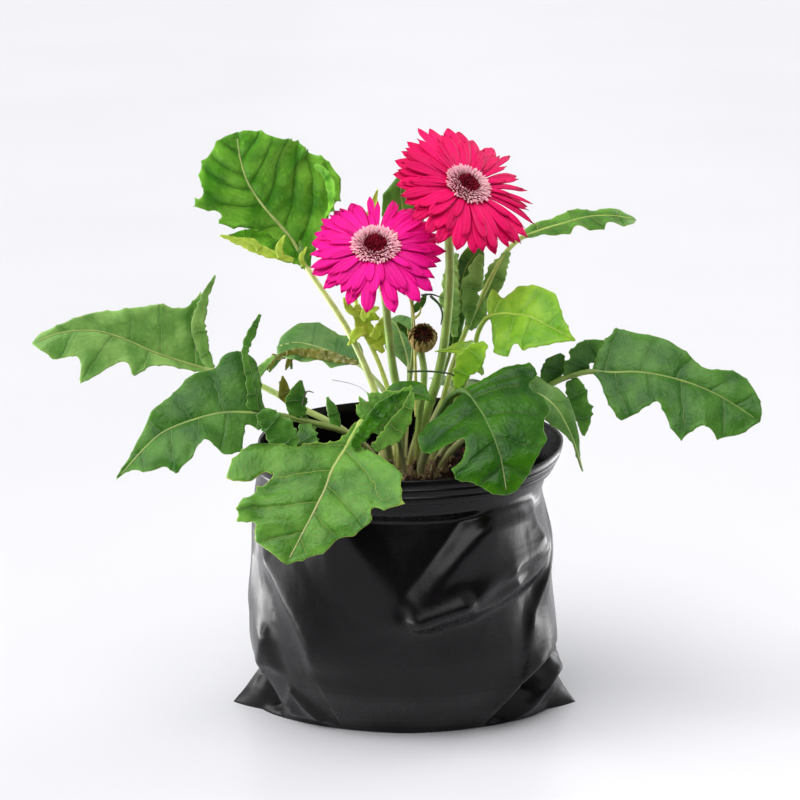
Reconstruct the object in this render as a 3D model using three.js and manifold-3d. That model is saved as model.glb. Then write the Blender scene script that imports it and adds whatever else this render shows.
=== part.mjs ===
// A gerbera in flower, potted in a black film grow bag: the bag with its folded cuff, potting mix, crown,
// lobed leaves on their petioles, two open heads on leafless scapes, and one closing head.
// Millimetres, +Z up. The origin is the middle of the bag's flat base; the heads look towards -Y.
import * as THREE from "three";
import Module from "manifold-3d";
import { mergeVertices } from "three/addons/utils/BufferGeometryUtils.js";

const wasm = await Module();
wasm.setup();

// ---- bag, mix and crown -------------------------------------------------------------------------

const GAP = 0.35; // clearance between two pieces that touch

const BAG = {
  film: 2.2, // thicker than the real film, so that the wall is a sound solid
  floor: 3,
  height: 186,
  around: 36,
  // outline at each height: reach to the left, right, front and back, and how square it is
  levels: [
    { z: 0, left: 101, right: 99, front: 71, back: 66, square: 2.3 },
    { z: 12, left: 98, right: 97, front: 81, back: 78, square: 2.25 },
    { z: 34, left: 101, right: 103, front: 91, back: 88, square: 2.15 },
    { z: 58, left: 105, right: 103, front: 97, back: 95, square: 2.1 },
    { z: 82, left: 105, right: 100, front: 100, back: 100, square: 2 },
    { z: 106, left: 103, right: 98, front: 101, back: 102, square: 2 },
    { z: 130, left: 102, right: 97, front: 101, back: 103, square: 2 },
    { z: 154, left: 101, right: 91, front: 101, back: 103, square: 2 },
    { z: 169, left: 100, right: 96, front: 102, back: 103, square: 2 },
    { z: 178, left: 99, right: 103, front: 103, back: 103, square: 2 },
    { z: 186, left: 99, right: 106, front: 104, back: 103, square: 2 },
  ],
  cuff: { low: 170, tiers: [1.8, 1.2, 0.7], fall: 5.2, step: 0.55 },
  // the two lower corners of the flat bag stand out as ears: direction, reach, half-angle and top
  ears: [
    { at: 180, reach: 15, spread: 9, top: 27 },
    { at: 0, reach: 15, spread: 9, top: 27 },
  ],
  // folds of the film: a path of [degrees round from +X, height], half-width, and how far the film stands out
  folds: [
    { path: [[-20, 112], [-40, 106], [-62, 92], [-82, 76]], width: 9, lift: 4.2 },
    { path: [[-50, 158], [-66, 118], [-84, 80]], width: 11, lift: 3 },
    { path: [[-72, 150], [-92, 112], [-110, 92]], width: 19, lift: -4.6 },
    { path: [[-126, 128], [-120, 92], [-114, 62]], width: 8, lift: 2.4 },
    { path: [[-10, 46], [-26, 22], [-42, 6]], width: 6, lift: -5 },
    { path: [[-168, 44], [-156, 24], [-148, 8]], width: 6, lift: -3.6 },
    { path: [[-14, 150], [-10, 120], [-12, 84]], width: 8, lift: 2.4 },
    { path: [[62, 150], [72, 108], [94, 66]], width: 12, lift: 3.4 },
    { path: [[132, 150], [112, 104], [104, 60]], width: 14, lift: -3.6 },
  ],
};

const SOIL = { edge: 158, rise: 8, slack: 0.6, deep: 10, around: 32, crumbs: 10, crumb: 3 };
// the crown that everything grows from, with its stock running down into the mix as [height, radius]
const CROWN = {
  x: 2, y: 4, radius: 30, shoulder: 162, top: 167, bottom: 147, around: 16, stock: [[96, 9]],
};
const ROOT = 151; // height at which every stalk ends inside the crown
const STRAIGHT = 16; // every stalk runs straight up for this far
const HOLE = { slack: 0.7, sides: 6 }; // the hole of a stalk in the crown
// dried stalks of old leaves, at these directions round the crown
const STUBS = { at: [-111, -83, -55, -28, 27, 111, 166], ring: 26.5, radius: 2.1, length: 19 };

// ---- leaves -------------------------------------------------------------------------------------

const BLADE = 0.9; // thickness of a leaf
const NEAR = 3.2; // feet of two side veins closer than this start at one point of the midrib

// spine runs from the crown to the tip and its point number `blade` is where the blade starts. face is where
// the upper side looks at the start and at the end of the blade. left and right are the margins of the leaf
// laid flat, each point [along the midrib, out from it, lifted off the flat]. slant is how far a side vein
// runs ahead for each unit out, at the start and at the tip. fold is the rise of each half in degrees, curl its
// bend in degrees over 45 mm. A lobe is a small blade of its own on the stalk: its spine, widths and face.
const LEAVES = {
  leaf_upright_left: {
    spine: [[-39, 22, 256], [-66, 26, 298], [-76, 22, 318], [-84, 18, 329], [-94, 12, 342], [-104, 6, 359],
      [-109, 2, 376], [-111, 0, 394]],
    root: [-16, 14], way: [[-18, 15, 205]], blade: 1, face: [[0.1, -1, 0.1], [0.1, -1, 0.3]],
      slant: [0.2, 0.5],
    fold: 5, curl: 6, stalk: 2.7,
    left: [[8, 5], [18, 12], [25, 9, 2], [39, 10], [56, 20, 3], [68, 32, -1], [70, 27, -1], [77, 32],
      [86, 41, 3], [88, 28],
      [94, 30, -2], [102, 19], [109, 10]],
    right: [[4, 5], [17, 16, 4], [27, 29, 5], [37, 47, 1], [48, 54, -4], [61, 47, -6], [70, 47, -2],
      [80, 43, -6], [93, 37, -2],
      [102, 27], [112, 12]],
    lobes: [
      { spine: [[-67, 24, 301], [-82, 19, 311], [-100, 15, 321], [-118, 12, 323]],
        width: [2, 6, 6, 1], face: [0.1, -1, 0.3] },
      { spine: [[-68, 26, 299], [-70, 20, 310], [-71, 14, 319]], width: [3, 3, 1], face: [0.8, -1, 0.1] },
    ],
  },
  leaf_far_left: {
    spine: [[-40, 3, 190], [-71, 9, 206], [-100, 13, 221], [-130, 12, 231], [-165, 0, 245], [-189, -8, 258],
      [-206, -14, 264], [-228, -20, 264], [-246, -26, 258]],
    root: [-19, 4], blade: 3, face: [[0, -0.85, 0.5], [0, -0.85, 0.5]], slant: [0.1, 0.6], fold: 4,
      curl: -6, stalk: 2.5,
    left: [[13, 4], [40, 9, 2], [52, 22, 2], [60, 15], [74, 27, -2], [88, 39, -4], [99, 18],
      [109, 18, -2], [120, 17, -3],
      [127, 7]],
    right: [[4, 8], [10, 20, 2], [16, 34, 3], [19, 50, 4], [27, 37, 2], [34, 34], [46, 34, 2],
      [60, 27, -2], [74, 18],
      [94, 10, 1], [112, 5], [124, 4]],
    lobes: [
      { spine: [[-131, 12, 232], [-136, 13, 245], [-139, 15, 262], [-136, 18, 277], [-128, 22, 294]],
        width: [3, 4.5, 5, 3, 0.8], face: [0.4, -1, 0.1] },
      { spine: [[-103, 13, 222], [-97, 14, 232], [-88, 16, 240]], width: [2, 3, 1], face: [0, -1, 0.3] },
    ],
  },
  leaf_low_left: {
    spine: [[-36, -24, 195], [-65, -38, 208], [-89, -48, 216], [-101, -52, 218], [-120, -57, 219],
      [-140, -62, 215],
      [-158, -66, 208], [-169, -69, 199], [-188, -72, 178]],
    root: [-17, -6], blade: 2, face: [[0, -0.75, 0.65], [-0.2, -0.8, 0.55]], slant: [0.1, 0.5],
      fold: 4, curl: -6,
    stalk: 2.6,
    left: [[3, 6], [8, 12, -2], [16, 9], [21, 28, -3], [35, 30, -2], [50, 18, 2], [62, 26, -3],
      [77, 30, -3], [88, 19],
      [98, 14], [106, 4]],
    right: [[3, 5], [6, 14, 2], [8, 31, 4], [15, 42, 5], [28, 40, 2], [33, 33], [44, 30, 3], [60, 21],
      [71, 16, 3], [84, 9], [98, 4]],
    lobes: [
      { spine: [[-100, -51, 218], [-102, -48, 238], [-105, -46, 256], [-101, -44, 268],
        [-95, -42, 281]], width: [4, 3, 2, 3, 1], face: [0, -1, 0.2] },
      { spine: [[-84, -46, 214], [-80, -50, 204], [-75, -48, 191]], width: [3, 7, 1.5],
        face: [0, -1, 0.2] },
      { spine: [[-67, -39, 208], [-74, -34, 220], [-83, -32, 234]], width: [3, 4, 1],
        face: [0.2, -1, 0.2] },
      { spine: [[-62, -37, 206], [-66, -45, 198], [-70, -50, 190]], width: [3, 5, 1.5],
        face: [0, -1, 0.2] },
      { spine: [[-46, -29, 200], [-48, -28, 211], [-52, -27, 222]], width: [3, 4, 1],
        face: [-0.3, -1, 0.1] },
    ],
  },
  leaf_front_left: {
    spine: [[-18, -42, 211], [-30, -62, 213], [-40, -84, 201], [-47, -95, 192], [-52, -106, 181],
      [-57, -114, 172],
      [-65, -122, 158], [-76, -130, 138]],
    root: [-10, -13], blade: 1, face: [[0, -0.6, 0.8], [0, -0.95, 0.3]], slant: [0.5, 0.5], fold: 2,
      curl: -5,
    stalk: 3,
    left: [[10, 5], [21, 10], [25, 22, 5], [28, 32, 8], [34, 41, 9], [47, 47, 9], [54, 55, 8],
      [58, 42, 6], [64, 33, 3],
      [74, 35, 2], [81, 29], [87, 21, -2], [96, 18], [111, 4, -2]],
    right: [[20, 6], [38, 28, 4], [48, 50, 5], [62, 57, 2], [75, 61], [72, 52], [67, 43], [61, 34, 2],
      [69, 40],
      [80, 45, -3], [92, 46, -4], [104, 41, -5], [100, 30], [110, 25, -3], [113, 12]],
    lobes: [
      { spine: [[-28, -60, 213], [-16, -66, 222], [-4, -72, 232], [4, -72, 240]],
        width: [8, 15, 12, 6, 1.5], face: [-0.6, -0.7, -0.35] },
    ],
  },
  leaf_front_right: {
    spine: [[20, -30, 204], [29, -45, 226], [38, -60, 234], [47, -76, 227], [54, -92, 217], [60, -105, 202],
      [64, -116, 180]],
    root: [9, -16], blade: 2, face: [[0, -0.75, 0.65], [0.1, -0.8, 0.6]], slant: [0.05, 0.5], fold: 2,
      curl: -10,
    stalk: 3,
    left: [[2, 14], [4, 30, 2], [8, 46, 3], [14, 46], [18, 37, -2], [26, 42, -4], [36, 43, -6],
      [42, 37, -2],
      [48, 34, -4], [57, 32, -3], [64, 25], [76, 15, -2], [84, 6]],
    right: [[2, 10], [6, 30, -1], [14, 42, -4], [26, 46, -6], [40, 42, -5], [42, 30, -1], [41, 19],
      [52, 22, -2],
      [60, 33, -4], [68, 32, -4], [76, 20], [84, 8]],
  },
  leaf_far_right: {
    spine: [[50, -4, 197], [88, -8, 221], [106, -10, 231], [124, -12, 236], [137, -14, 236],
      [155, -18, 237],
      [181, -24, 233], [206, -30, 224], [233, -38, 208]],
    root: [22, -1], blade: 3, face: [[0, -0.75, 0.65], [0.1, -0.8, 0.55]], slant: [0.1, 0.5], fold: 4,
      curl: -6,
    stalk: 2.5,
    left: [[4, 16], [12, 33, 2], [24, 30], [34, 29, -2], [48, 25], [60, 19], [72, 14, 1], [88, 21, -2],
      [100, 19, -3],
      [114, 8]],
    right: [[4, 6], [12, 22, -2], [20, 34, -4], [32, 31, -1], [48, 21, 1], [62, 36, -3], [72, 41, -4],
      [86, 25],
      [100, 27, -4], [112, 15, -2]],
    lobes: [
      { spine: [[94, -9, 225], [97, -8, 235], [101, -9, 243], [104, -10, 247]], width: [4, 7, 7, 2],
        face: [0.3, -1, 0.2] },
      { spine: [[108, -10, 231], [114, -11, 242], [122, -13, 252], [131, -15, 257]],
        width: [4, 8, 9, 6, 1], face: [0.4, -1, 0.2] },
      { spine: [[110, -11, 230], [114, -17, 219], [118, -20, 206], [118, -21, 194]],
        width: [4, 7, 8, 5, 1], face: [-0.2, -1, 0] },
    ],
  },
  leaf_bright_right: {
    spine: [[33, 8, 208], [45, 3, 240], [48, -2, 260], [54, -9, 272], [63, -18, 277], [71, -26, 278],
      [80, -32, 278],
      [93, -40, 273], [110, -48, 265]],
    root: [22, 9], blade: 3, face: [[0, -0.8, 0.6], [0.1, -0.85, 0.5]], slant: [0, 0.5], fold: 4,
      curl: -5, stalk: 2.3,
    left: [[1, 6], [4, 15], [7, 17, 2], [12, 11], [21, 21, 2], [36, 22, -1], [44, 21, -2], [52, 14],
      [67, 3]],
    right: [[3, 8], [9, 18, -1], [20, 28, -3], [31, 30, -3], [33, 23], [46, 25, -2], [57, 16], [66, 6]],
  },
  leaf_upper_right: {
    spine: [[27, 23, 215], [40, 34, 252], [52, 42, 276], [62, 50, 295], [69, 57, 304], [80, 66, 312],
      [93, 74, 316],
      [108, 82, 319], [127, 92, 322], [145, 100, 321], [161, 108, 317]],
    root: [18, 18], blade: 5, face: [[0, -0.5, 0.85], [0, -0.4, 0.9]], slant: [0.2, 0.5], fold: 3,
      curl: 4, stalk: 2.3,
    left: [[4, 5], [15, 7], [27, 6], [45, 8, 1], [62, 6], [80, 8, 1], [90, 5]],
    right: [[4, 5], [14, 5], [22, 9, -1], [33, 9, -2], [41, 6], [47, 13, -2], [60, 13, -3], [66, 9],
      [78, 11, -2], [89, 5]],
  },
  leaf_back_left: {
    spine: [[-12, 38, 204], [-25, 56, 218], [-34, 72, 222], [-46, 80, 226], [-61, 88, 230],
      [-76, 94, 232], [-91, 100, 228]],
    root: [-10, 21], blade: 2, face: [[0, -0.6, 0.8], [-0.1, -0.6, 0.8]], slant: [0.2, 0.5], fold: 4,
      curl: -6, stalk: 2.2,
    left: [[6, 8], [14, 12, -2], [24, 11], [38, 16, -2], [54, 15, 1], [64, 10, -1]],
    right: [[2, 8], [10, 15, 2], [26, 16], [42, 18, 2], [56, 14], [64, 8]],
    lobes: [
      { spine: [[-84, 97, 229], [-90, 94, 219], [-96, 92, 211]], width: [3, 2, 0.8], face: [0, -1, 0.2] },
      { spine: [[-79, 95, 231], [-81, 93, 221], [-80, 92, 213]], width: [3, 2, 0.8], face: [0, -1, 0.2] },
    ],
  },
  leaf_pale_right: {
    spine: [[42, -26, 208], [65, -38, 226], [86, -50, 230], [98, -56, 222], [108, -60, 204],
      [116, -60, 180]],
    root: [18, -10], blade: 1, face: [[0.2, -0.7, 0.7], [0.6, -0.8, 0.3]], slant: [0.2, 0.5], fold: 6,
      curl: -8, stalk: 2.3,
    left: [[4, 9], [14, 14, 1], [28, 10], [40, 12, -1], [54, 8], [66, 4]],
    right: [[4, 10], [14, 16, -2], [28, 13], [42, 13, -2], [54, 8], [66, 3]],
  },
  leaf_young_centre: {
    spine: [[24, 1, 205], [35, 0, 224], [43, -5, 238], [48, -14, 248], [43, -24, 253], [33, -31, 256],
      [19, -38, 256]],
    root: [13, 3], blade: 2, face: [[0.7, -0.5, 0.5], [-0.1, -0.5, 0.85]], slant: [0.2, 0.4], fold: 5,
      curl: -8, stalk: 1.9,
    columns: 1,
    left: [[6, 9], [14, 16, -3], [26, 11], [38, 6], [46, 2]],
    right: [[6, 7], [16, 9, -1], [28, 8], [38, 6], [46, 2]],
  },
  leaf_slender_middle: {
    spine: [[2, 24, 215], [5, 32, 241], [4, 37, 274], [1, 41, 301], [-1, 43, 325], [-3, 44, 342],
      [-4, 43, 358]],
    root: [-3, 14], blade: 3, face: [[0, -1, 0.1], [0, -1, 0.1]], slant: [0.4, 0.6], fold: 6,
      curl: 8, stalk: 1.7, columns: 1,
    left: [[6, 4], [20, 8], [30, 14, 1], [44, 12], [52, 6]],
    right: [[6, 4], [20, 9], [30, 16, 1], [44, 14], [52, 6]],
    lobes: [
      { spine: [[5, 33, 249], [-1, 32, 254], [-6, 31, 260]], width: [2, 2.5, 0.8], face: [0, -1, 0.2] },
      { spine: [[4, 36, 266], [10, 35, 272], [14, 34, 279]], width: [2, 2.5, 0.8], face: [0, -1, 0.2] },
    ],
  },
  leaf_winged_right: {
    spine: [[18, 24, 205], [30, 34, 238], [36, 38, 270], [40, 43, 293], [50, 46, 309]],
    root: [8, 13], blade: 1, face: [[0.2, -1, 0.1], [0.1, -1, 0.1]], slant: [0.4, 0.5], fold: 5,
      curl: 6, stalk: 1.8, columns: 1,
    left: [[8, 5], [28, 4], [40, 6], [54, 5], [66, 8, 1], [74, 5]],
    right: [[8, 4], [28, 6], [40, 4], [54, 6], [64, 11, 1], [74, 5]],
  },
  leaf_yellow_middle: {
    spine: [[-7, 9, 196], [-16, 16, 229], [-28, 24, 256], [-34, 28, 277], [-32, 31, 303], [-26, 32, 326],
      [-19, 31, 351]],
    root: [-9, 5], blade: 3, face: [[0.1, -1, 0.1], [0.1, -1, 0.1]], slant: [0.4, 0.6], fold: 6,
      curl: 6, stalk: 2, columns: 1,
    left: [[4, 5], [16, 4], [26, 7], [40, 6], [60, 3], [72, 1.5]],
    right: [[4, 6], [16, 4], [28, 7], [42, 6], [60, 4], [72, 1.5]],
    lobes: [
      { spine: [[-30, 25, 262], [-24, 23, 266], [-18, 22, 264]], width: [3, 4, 1], face: [0, -1, 0.2] },
      { spine: [[-23, 21, 243], [-17, 20, 248], [-15, 20, 256]], width: [2, 3, 1], face: [0, -1, 0.2] },
    ],
  },
  leaf_behind: {
    spine: [[1, 42, 196], [2, 62, 222], [-2, 78, 236], [-6, 92, 244], [-11, 104, 247]],
    root: [-1, 25], blade: 1, face: [[0, -0.8, 0.6], [0, -0.6, 0.8]], slant: [0.2, 0.5], fold: 5,
      curl: -5, stalk: 2,
    columns: 1,
    left: [[6, 6], [18, 13], [30, 11], [42, 13], [50, 7]],
    right: [[6, 6], [18, 12], [30, 10], [42, 12], [50, 6]],
  },
  leaf_low_back: {
    spine: [[20, 48, 190], [32, 76, 204], [44, 104, 203], [56, 128, 190], [66, 146, 168]],
    root: [9, 24], blade: 1, face: [[0, -0.1, 1], [0.3, 0.9, 0.5]], slant: [0.2, 0.5], fold: 4,
      curl: -8, stalk: 2.4,
    left: [[6, 6], [22, 26, -3], [34, 20], [50, 33, -4], [66, 24], [80, 24, -3], [96, 8]],
    right: [[6, 6], [22, 24, -3], [34, 19], [50, 31, -4], [66, 22], [80, 22, -3], [96, 8]],
  },
  leaf_folded_front: {
    spine: [[-6, -26, 196], [-16, -33, 212], [-14, -40, 224], [-4, -47, 230], [8, -53, 231],
      [19, -58, 226]],
    root: [-1, -17], blade: 2, face: [[-0.6, -0.6, 0.6], [0, -0.5, 0.9]], slant: [0.2, 0.4], fold: 6,
      curl: -10, stalk: 2,
    columns: 1,
    left: [[6, 7], [16, 9, -1], [26, 8], [34, 3]],
    right: [[6, 6], [16, 8, -1], [26, 7], [34, 3]],
  },
};

// ---- flower heads -------------------------------------------------------------------------------

// A head is described from its own middle: heights run along its axis.
const HEAD = {
  involucre: [[-21, 3.6], [-19, 8], [-14, 11.6], [-9, 13.4], [-7, 13.2]],
  bracts: 18,
  core: { radius: 13, low: -6.6, high: -3 },
  ring: { inner: 7.6, outer: 15, low: -2.6, high: 0.6, florets: 14 },
  eye: { radius: 7.1, low: -2.6, high: 0.4, florets: 9 },
  ray: { root: 10, thick: 0.8, width: 3.5 },
};
const HEADS = {
  low: {
    centre: [-20, -30, 325], axis: [0, -0.634, 0.773], reach: 42, droop: 9, seed: 11,
    scape: [[-4, -11, 210], [-9, -17, 242], [-12, -21, 270], [-15, -19, 293]], root: [-4, -5],
      stalk: [2.9, 2.6],
  },
  high: {
    centre: [40.5, -14, 362], axis: [0.4, -0.55, 0.733], reach: 49, droop: 9, seed: 29,
    scape: [[12, 3, 200], [22, 2, 232], [27, 1, 265], [29, 0, 300], [28, -2, 328]], root: [3, 4],
      stalk: [3.2, 2.9],
  },
};
const WHORLS = [
  { count: 20, turn: 0, rise: -6.1, tip: -3, scale: 1 },
  { count: 20, turn: 0.5, rise: -4.7, tip: 1, scale: 0.96 },
];
const BUD = {
  scape: [[9, -13, 205], [12, -20, 236]], root: [7, -6], stalk: [2.4, 2.2],
  centre: [11, -27, 262], axis: [0.05, -0.75, 0.66], radius: 8.6, bracts: 16, mouth: 5, florets: 7,
};

// ---- tools --------------------------------------------------------------------------------------

const V = (x, y, z) => new THREE.Vector3(x, y, z);
const rad = THREE.MathUtils.degToRad;
const mix = THREE.MathUtils.lerp;

// A repeatable run of numbers from 0 to 1.
function dice(seed) {
  let state = seed >>> 0;
  return () => {
    state = (state + 0x6d2b79f5) >>> 0;
    let t = Math.imul(state ^ (state >>> 15), 1 | state);
    t = (t + Math.imul(t ^ (t >>> 7), 61 | t)) ^ t;
    return ((t ^ (t >>> 14)) >>> 0) / 4294967296;
  };
}

// The value at t of a list of [place, value] pairs, straight between them.
function between(pairs, t, column = 1) {
  if (t <= pairs[0][0]) return pairs[0][column];
  for (let i = 1; i < pairs.length; i++) {
    const [a, b] = [pairs[i - 1], pairs[i]];
    if (t <= b[0]) return mix(a[column], b[column], (t - a[0]) / (b[0] - a[0]));
  }
  return pairs.at(-1)[column];
}

function solid(geometry) {
  const merged = mergeVertices(geometry, 1e-4);
  const made = new wasm.Manifold(new wasm.Mesh({
    numProp: 3,
    vertProperties: new Float32Array(merged.attributes.position.array),
    triVerts: new Uint32Array(merged.index.array),
  }));
  if (made.volume() <= 0) throw new Error("a solid is inside out");
  return made;
}

function geometryOf(made) {
  const mesh = made.getMesh();
  const corners = new Float32Array(mesh.numVert * 3);
  for (let i = 0; i < mesh.numVert; i++) {
    const from = i * mesh.numProp;
    corners.set(mesh.vertProperties.subarray(from, from + 3), i * 3);
  }
  const geometry = new THREE.BufferGeometry();
  geometry.setAttribute("position", new THREE.BufferAttribute(corners, 3));
  geometry.setIndex(new THREE.BufferAttribute(new Uint32Array(mesh.triVerts), 1));
  return geometry;
}

const fuse = (solids) => wasm.Manifold.union(solids);

// The largest body of a result, so that a scrap cut off by a union or a cut is dropped.
function largest(made) {
  const bodies = made.decompose();
  return bodies.reduce((best, body) => (body.volume() > best.volume() ? body : best), bodies[0]);
}

// A closed skin through rings of the same number of points, both ends filled from their middles. From the
// point numbered `turned` on, the quads are split along the other diagonal, so a blade's two faces match.
function loft(rings, turned = Infinity) {
  const count = rings[0].length;
  const points = rings.flat().flatMap((p) => [p.x, p.y, p.z]);
  const faces = [];
  for (let i = 0; i + 1 < rings.length; i++) {
    for (let j = 0; j < count; j++) {
      const k = (j + 1) % count;
      const [a, b, c, d] = [i * count + j, i * count + k, (i + 1) * count + k, (i + 1) * count + j];
      if (j < turned) faces.push(a, b, c, a, c, d);
      else faces.push(a, b, d, b, c, d);
    }
  }
  for (const [i, first] of [[0, true], [rings.length - 1, false]]) {
    const middle = rings[i].reduce((sum, p) => sum.add(p), V(0, 0, 0)).divideScalar(count);
    const m = points.length / 3;
    points.push(middle.x, middle.y, middle.z);
    for (let j = 0; j < count; j++) {
      const [a, b] = [i * count + j, i * count + ((j + 1) % count)];
      faces.push(...(first ? [b, a, m] : [a, b, m]));
    }
  }
  const geometry = new THREE.BufferGeometry();
  geometry.setAttribute("position", new THREE.Float32BufferAttribute(points, 3));
  geometry.setIndex(faces);
  return geometry;
}

// A curve measured by length from the place of one of its points.
class Spine {
  constructor(points, zero = 0) {
    this.curve = new THREE.CatmullRomCurve3(points.map((p) => V(...p)), false, "centripetal");
    this.curve.arcLengthDivisions = (points.length - 1) * 40;
    const lengths = this.curve.getLengths();
    this.total = lengths.at(-1);
    this.before = lengths[zero * 40];
    this.length = this.total - this.before;
  }
  at(s) {
    return this.curve.getPointAt(Math.min(1, Math.max(0, (this.before + s) / this.total)));
  }
  along(s) {
    return this.at(s + 1.5).sub(this.at(s - 1.5)).normalize();
  }
}

// A round tapering stalk along a spine: radii holds [share of the length, radius] pairs.
function stalk(spine, radii, sides, steps, grow = 0) {
  const rings = [];
  let across = V(0.3, 1, 0.1).normalize();
  for (let i = 0; i <= steps; i++) {
    const s = -spine.before + (spine.total * i) / steps;
    const along = spine.along(s);
    across = across.clone().addScaledVector(along, -across.dot(along)).normalize();
    const other = along.clone().cross(across);
    const r = between(radii, i / steps) + grow;
    rings.push(Array.from({ length: sides }, (_, j) => {
      const a = (j / sides) * 2 * Math.PI;
      return spine.at(s).addScaledVector(across, r * Math.cos(a)).addScaledVector(other, r * Math.sin(a));
    }));
  }
  return loft(rings);
}

// ---- leaf ---------------------------------------------------------------------------------------

const rooted = (root) => [0, STRAIGHT / 2, STRAIGHT].map((up) => [...root, ROOT + up]);
const leafSpine = ({ root, way = [], spine, blade }) => {
  const lead = [...rooted(root), ...way];
  return new Spine([...lead, ...spine], lead.length + blade);
};

class Blade {
  constructor(spine, spec) {
    this.spine = spine;
    this.spec = spec;
  }
  // the spine's own axes at s: ahead, up and right
  axes(s) {
    const ahead = this.spine.along(s);
    const share = Math.min(1, Math.max(0, s / this.spine.length));
    const [a, b] = this.spec.face.map((f) => V(...f).normalize());
    const look = a.lerp(b, share).normalize();
    const up = look.addScaledVector(ahead, -look.dot(ahead)).normalize();
    return { ahead, up, right: ahead.clone().cross(up) };
  }
  slant(s) {
    return mix(...this.spec.slant, Math.min(1, Math.max(0, s / this.spine.length)));
  }
  // the foot on the midrib of every margin point, each a little past the one before it
  feet(margin) {
    let last = 0;
    return margin.map(([along, out]) => {
      let s = along;
      for (let i = 0; i < 12; i++) s = along - this.slant(s) * out;
      last = Math.min(this.spine.length, Math.max(last + 0.5, s));
      return last;
    });
  }
  point(s, ahead, out, lift, side, axes) {
    const rise = rad(this.spec.fold);
    const bend = rad(this.spec.curl) / 45 || 1e-6;
    const turned = rise + bend * out;
    return this.spine.at(s)
      .addScaledVector(axes.ahead, ahead)
      .addScaledVector(axes.right, (side * (Math.sin(turned) - Math.sin(rise))) / bend)
      .addScaledVector(axes.up, (Math.cos(rise) - Math.cos(turned)) / bend + lift);
  }
}

// The margin at foot s as [how far ahead of the foot, out, lift].
function marginAt(feet, margin, s) {
  const places = feet.map((foot, i) => [foot, margin[i][0] - foot, margin[i][1], margin[i][2] ?? 0]);
  return [1, 2, 3].map((column) => between(places, s, column));
}

// Moves each foot of one side onto the nearest foot of the other that is free and close by.
function share(fixed, moving) {
  let after = 0;
  for (let i = 1; i + 1 < moving.length; i++) {
    const away = (foot) => Math.abs(foot - moving[i]);
    const free = fixed.filter((foot) => foot > after && away(foot) < NEAR && foot < moving[i + 1]);
    if (free.length) moving[i] = free.reduce((a, b) => (away(a) < away(b) ? a : b));
    after = moving[i];
  }
}

function leafRings(spec, spine) {
  const blade = new Blade(spine, spec);
  const columns = spec.columns ?? 2;
  const start = spec.stalk * 0.85;
  const sides = [spec.left, spec.right].map((list) => {
    const margin = [[0, start], ...list, [spine.length, 0.5]];
    return { margin, feet: blade.feet(margin.slice(1, -1)) };
  });
  for (const side of sides) side.feet = [0, ...side.feet, spine.length];
  share(sides[0].feet, sides[1].feet);
  const rows = [...new Set([...sides[0].feet, ...sides[1].feet])].sort((a, b) => a - b);
  const rings = [];
  const shares = Array.from({ length: columns }, (_, i) => (i + 1) / columns);

  const ring = (s, left, right, radius, flat) => {
    const axes = blade.axes(s);
    const centre = spine.at(s);
    const half = (side, [ahead, out, lift]) => {
      let inner = centre;
      return shares.map((v) => {
        const p = blade.point(s, ahead * v, out * v, lift * v * v, side, axes);
        const normal = p.clone().sub(inner).cross(axes.ahead).multiplyScalar(side).normalize();
        inner = p;
        const full = radius * Math.sqrt(Math.max(0.12, 1 - v * v));
        return { p, normal, thick: mix(full, BLADE / 2, flat * Math.min(1, (out * v) / 6)) };
      });
    };
    const l = half(-1, left).reverse();
    const r = half(1, right);
    const middle = { p: centre, normal: axes.up };
    const top = [...l, { ...middle, thick: mix(radius, BLADE * 0.4, flat) }, ...r];
    const bottom = [...l, { ...middle, thick: Math.max(radius, BLADE * 0.6) }, ...r].reverse();
    rings.push([
      ...top.map(({ p, normal, thick }) => p.clone().addScaledVector(normal, thick)),
      ...bottom.map(({ p, normal, thick }) => p.clone().addScaledVector(normal, -thick)),
    ]);
  };

  // straight in its hole, then even steps up to the blade
  const free = spine.before - STRAIGHT;
  const steps = Math.max(2, Math.round(free / 28));
  const places = Array.from({ length: steps }, (_, i) => STRAIGHT + (free * i) / steps);
  for (const up of [0, ...places]) {
    const r = mix(spec.stalk * 1.2, start, up / spine.before);
    ring(up - spine.before, [0, r, 0], [0, r, 0], r, 0);
  }
  rows.forEach((s) => {
    const share = s / spine.length;
    const [left, right] = sides.map((side) => marginAt(side.feet, side.margin, s));
    ring(s, left, right, mix(start, 0.5, Math.min(1, share * 1.25)), Math.min(1, s / 8));
  });
  return { rings, turned: 2 * columns + 1 };
}

// A lobe on the stalk is a narrow blade with the same widths on both sides.
function lobeGeometry(lobe) {
  const spine = new Spine(lobe.spine);
  const steps = lobe.width.length - 1;
  const rings = lobe.width.map((width, i) => {
    const s = (spine.length * i) / steps;
    const ahead = spine.along(s);
    const look = V(...lobe.face);
    const up = look.addScaledVector(ahead, -look.dot(ahead)).normalize();
    const right = ahead.clone().cross(up);
    const p = spine.at(s);
    const place = (side, height) => p.clone().addScaledVector(right, side).addScaledVector(up, height);
    const h = BLADE / 2;
    const dip = width * 0.06;
    return [
      place(-width, h), place(0, h - dip), place(width, h),
      place(width, -h), place(0, -h - dip), place(-width, -h),
    ];
  });
  return loft(rings, 3);
}

function leafSolid(spec, spine) {
  const { rings, turned } = leafRings(spec, spine);
  const main = solid(loft(rings, turned));
  if (!spec.lobes) return main;
  return largest(fuse([main, ...spec.lobes.map((lobe) => solid(lobeGeometry(lobe)))]));
}

// ---- bag ----------------------------------------------------------------------------------------

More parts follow.
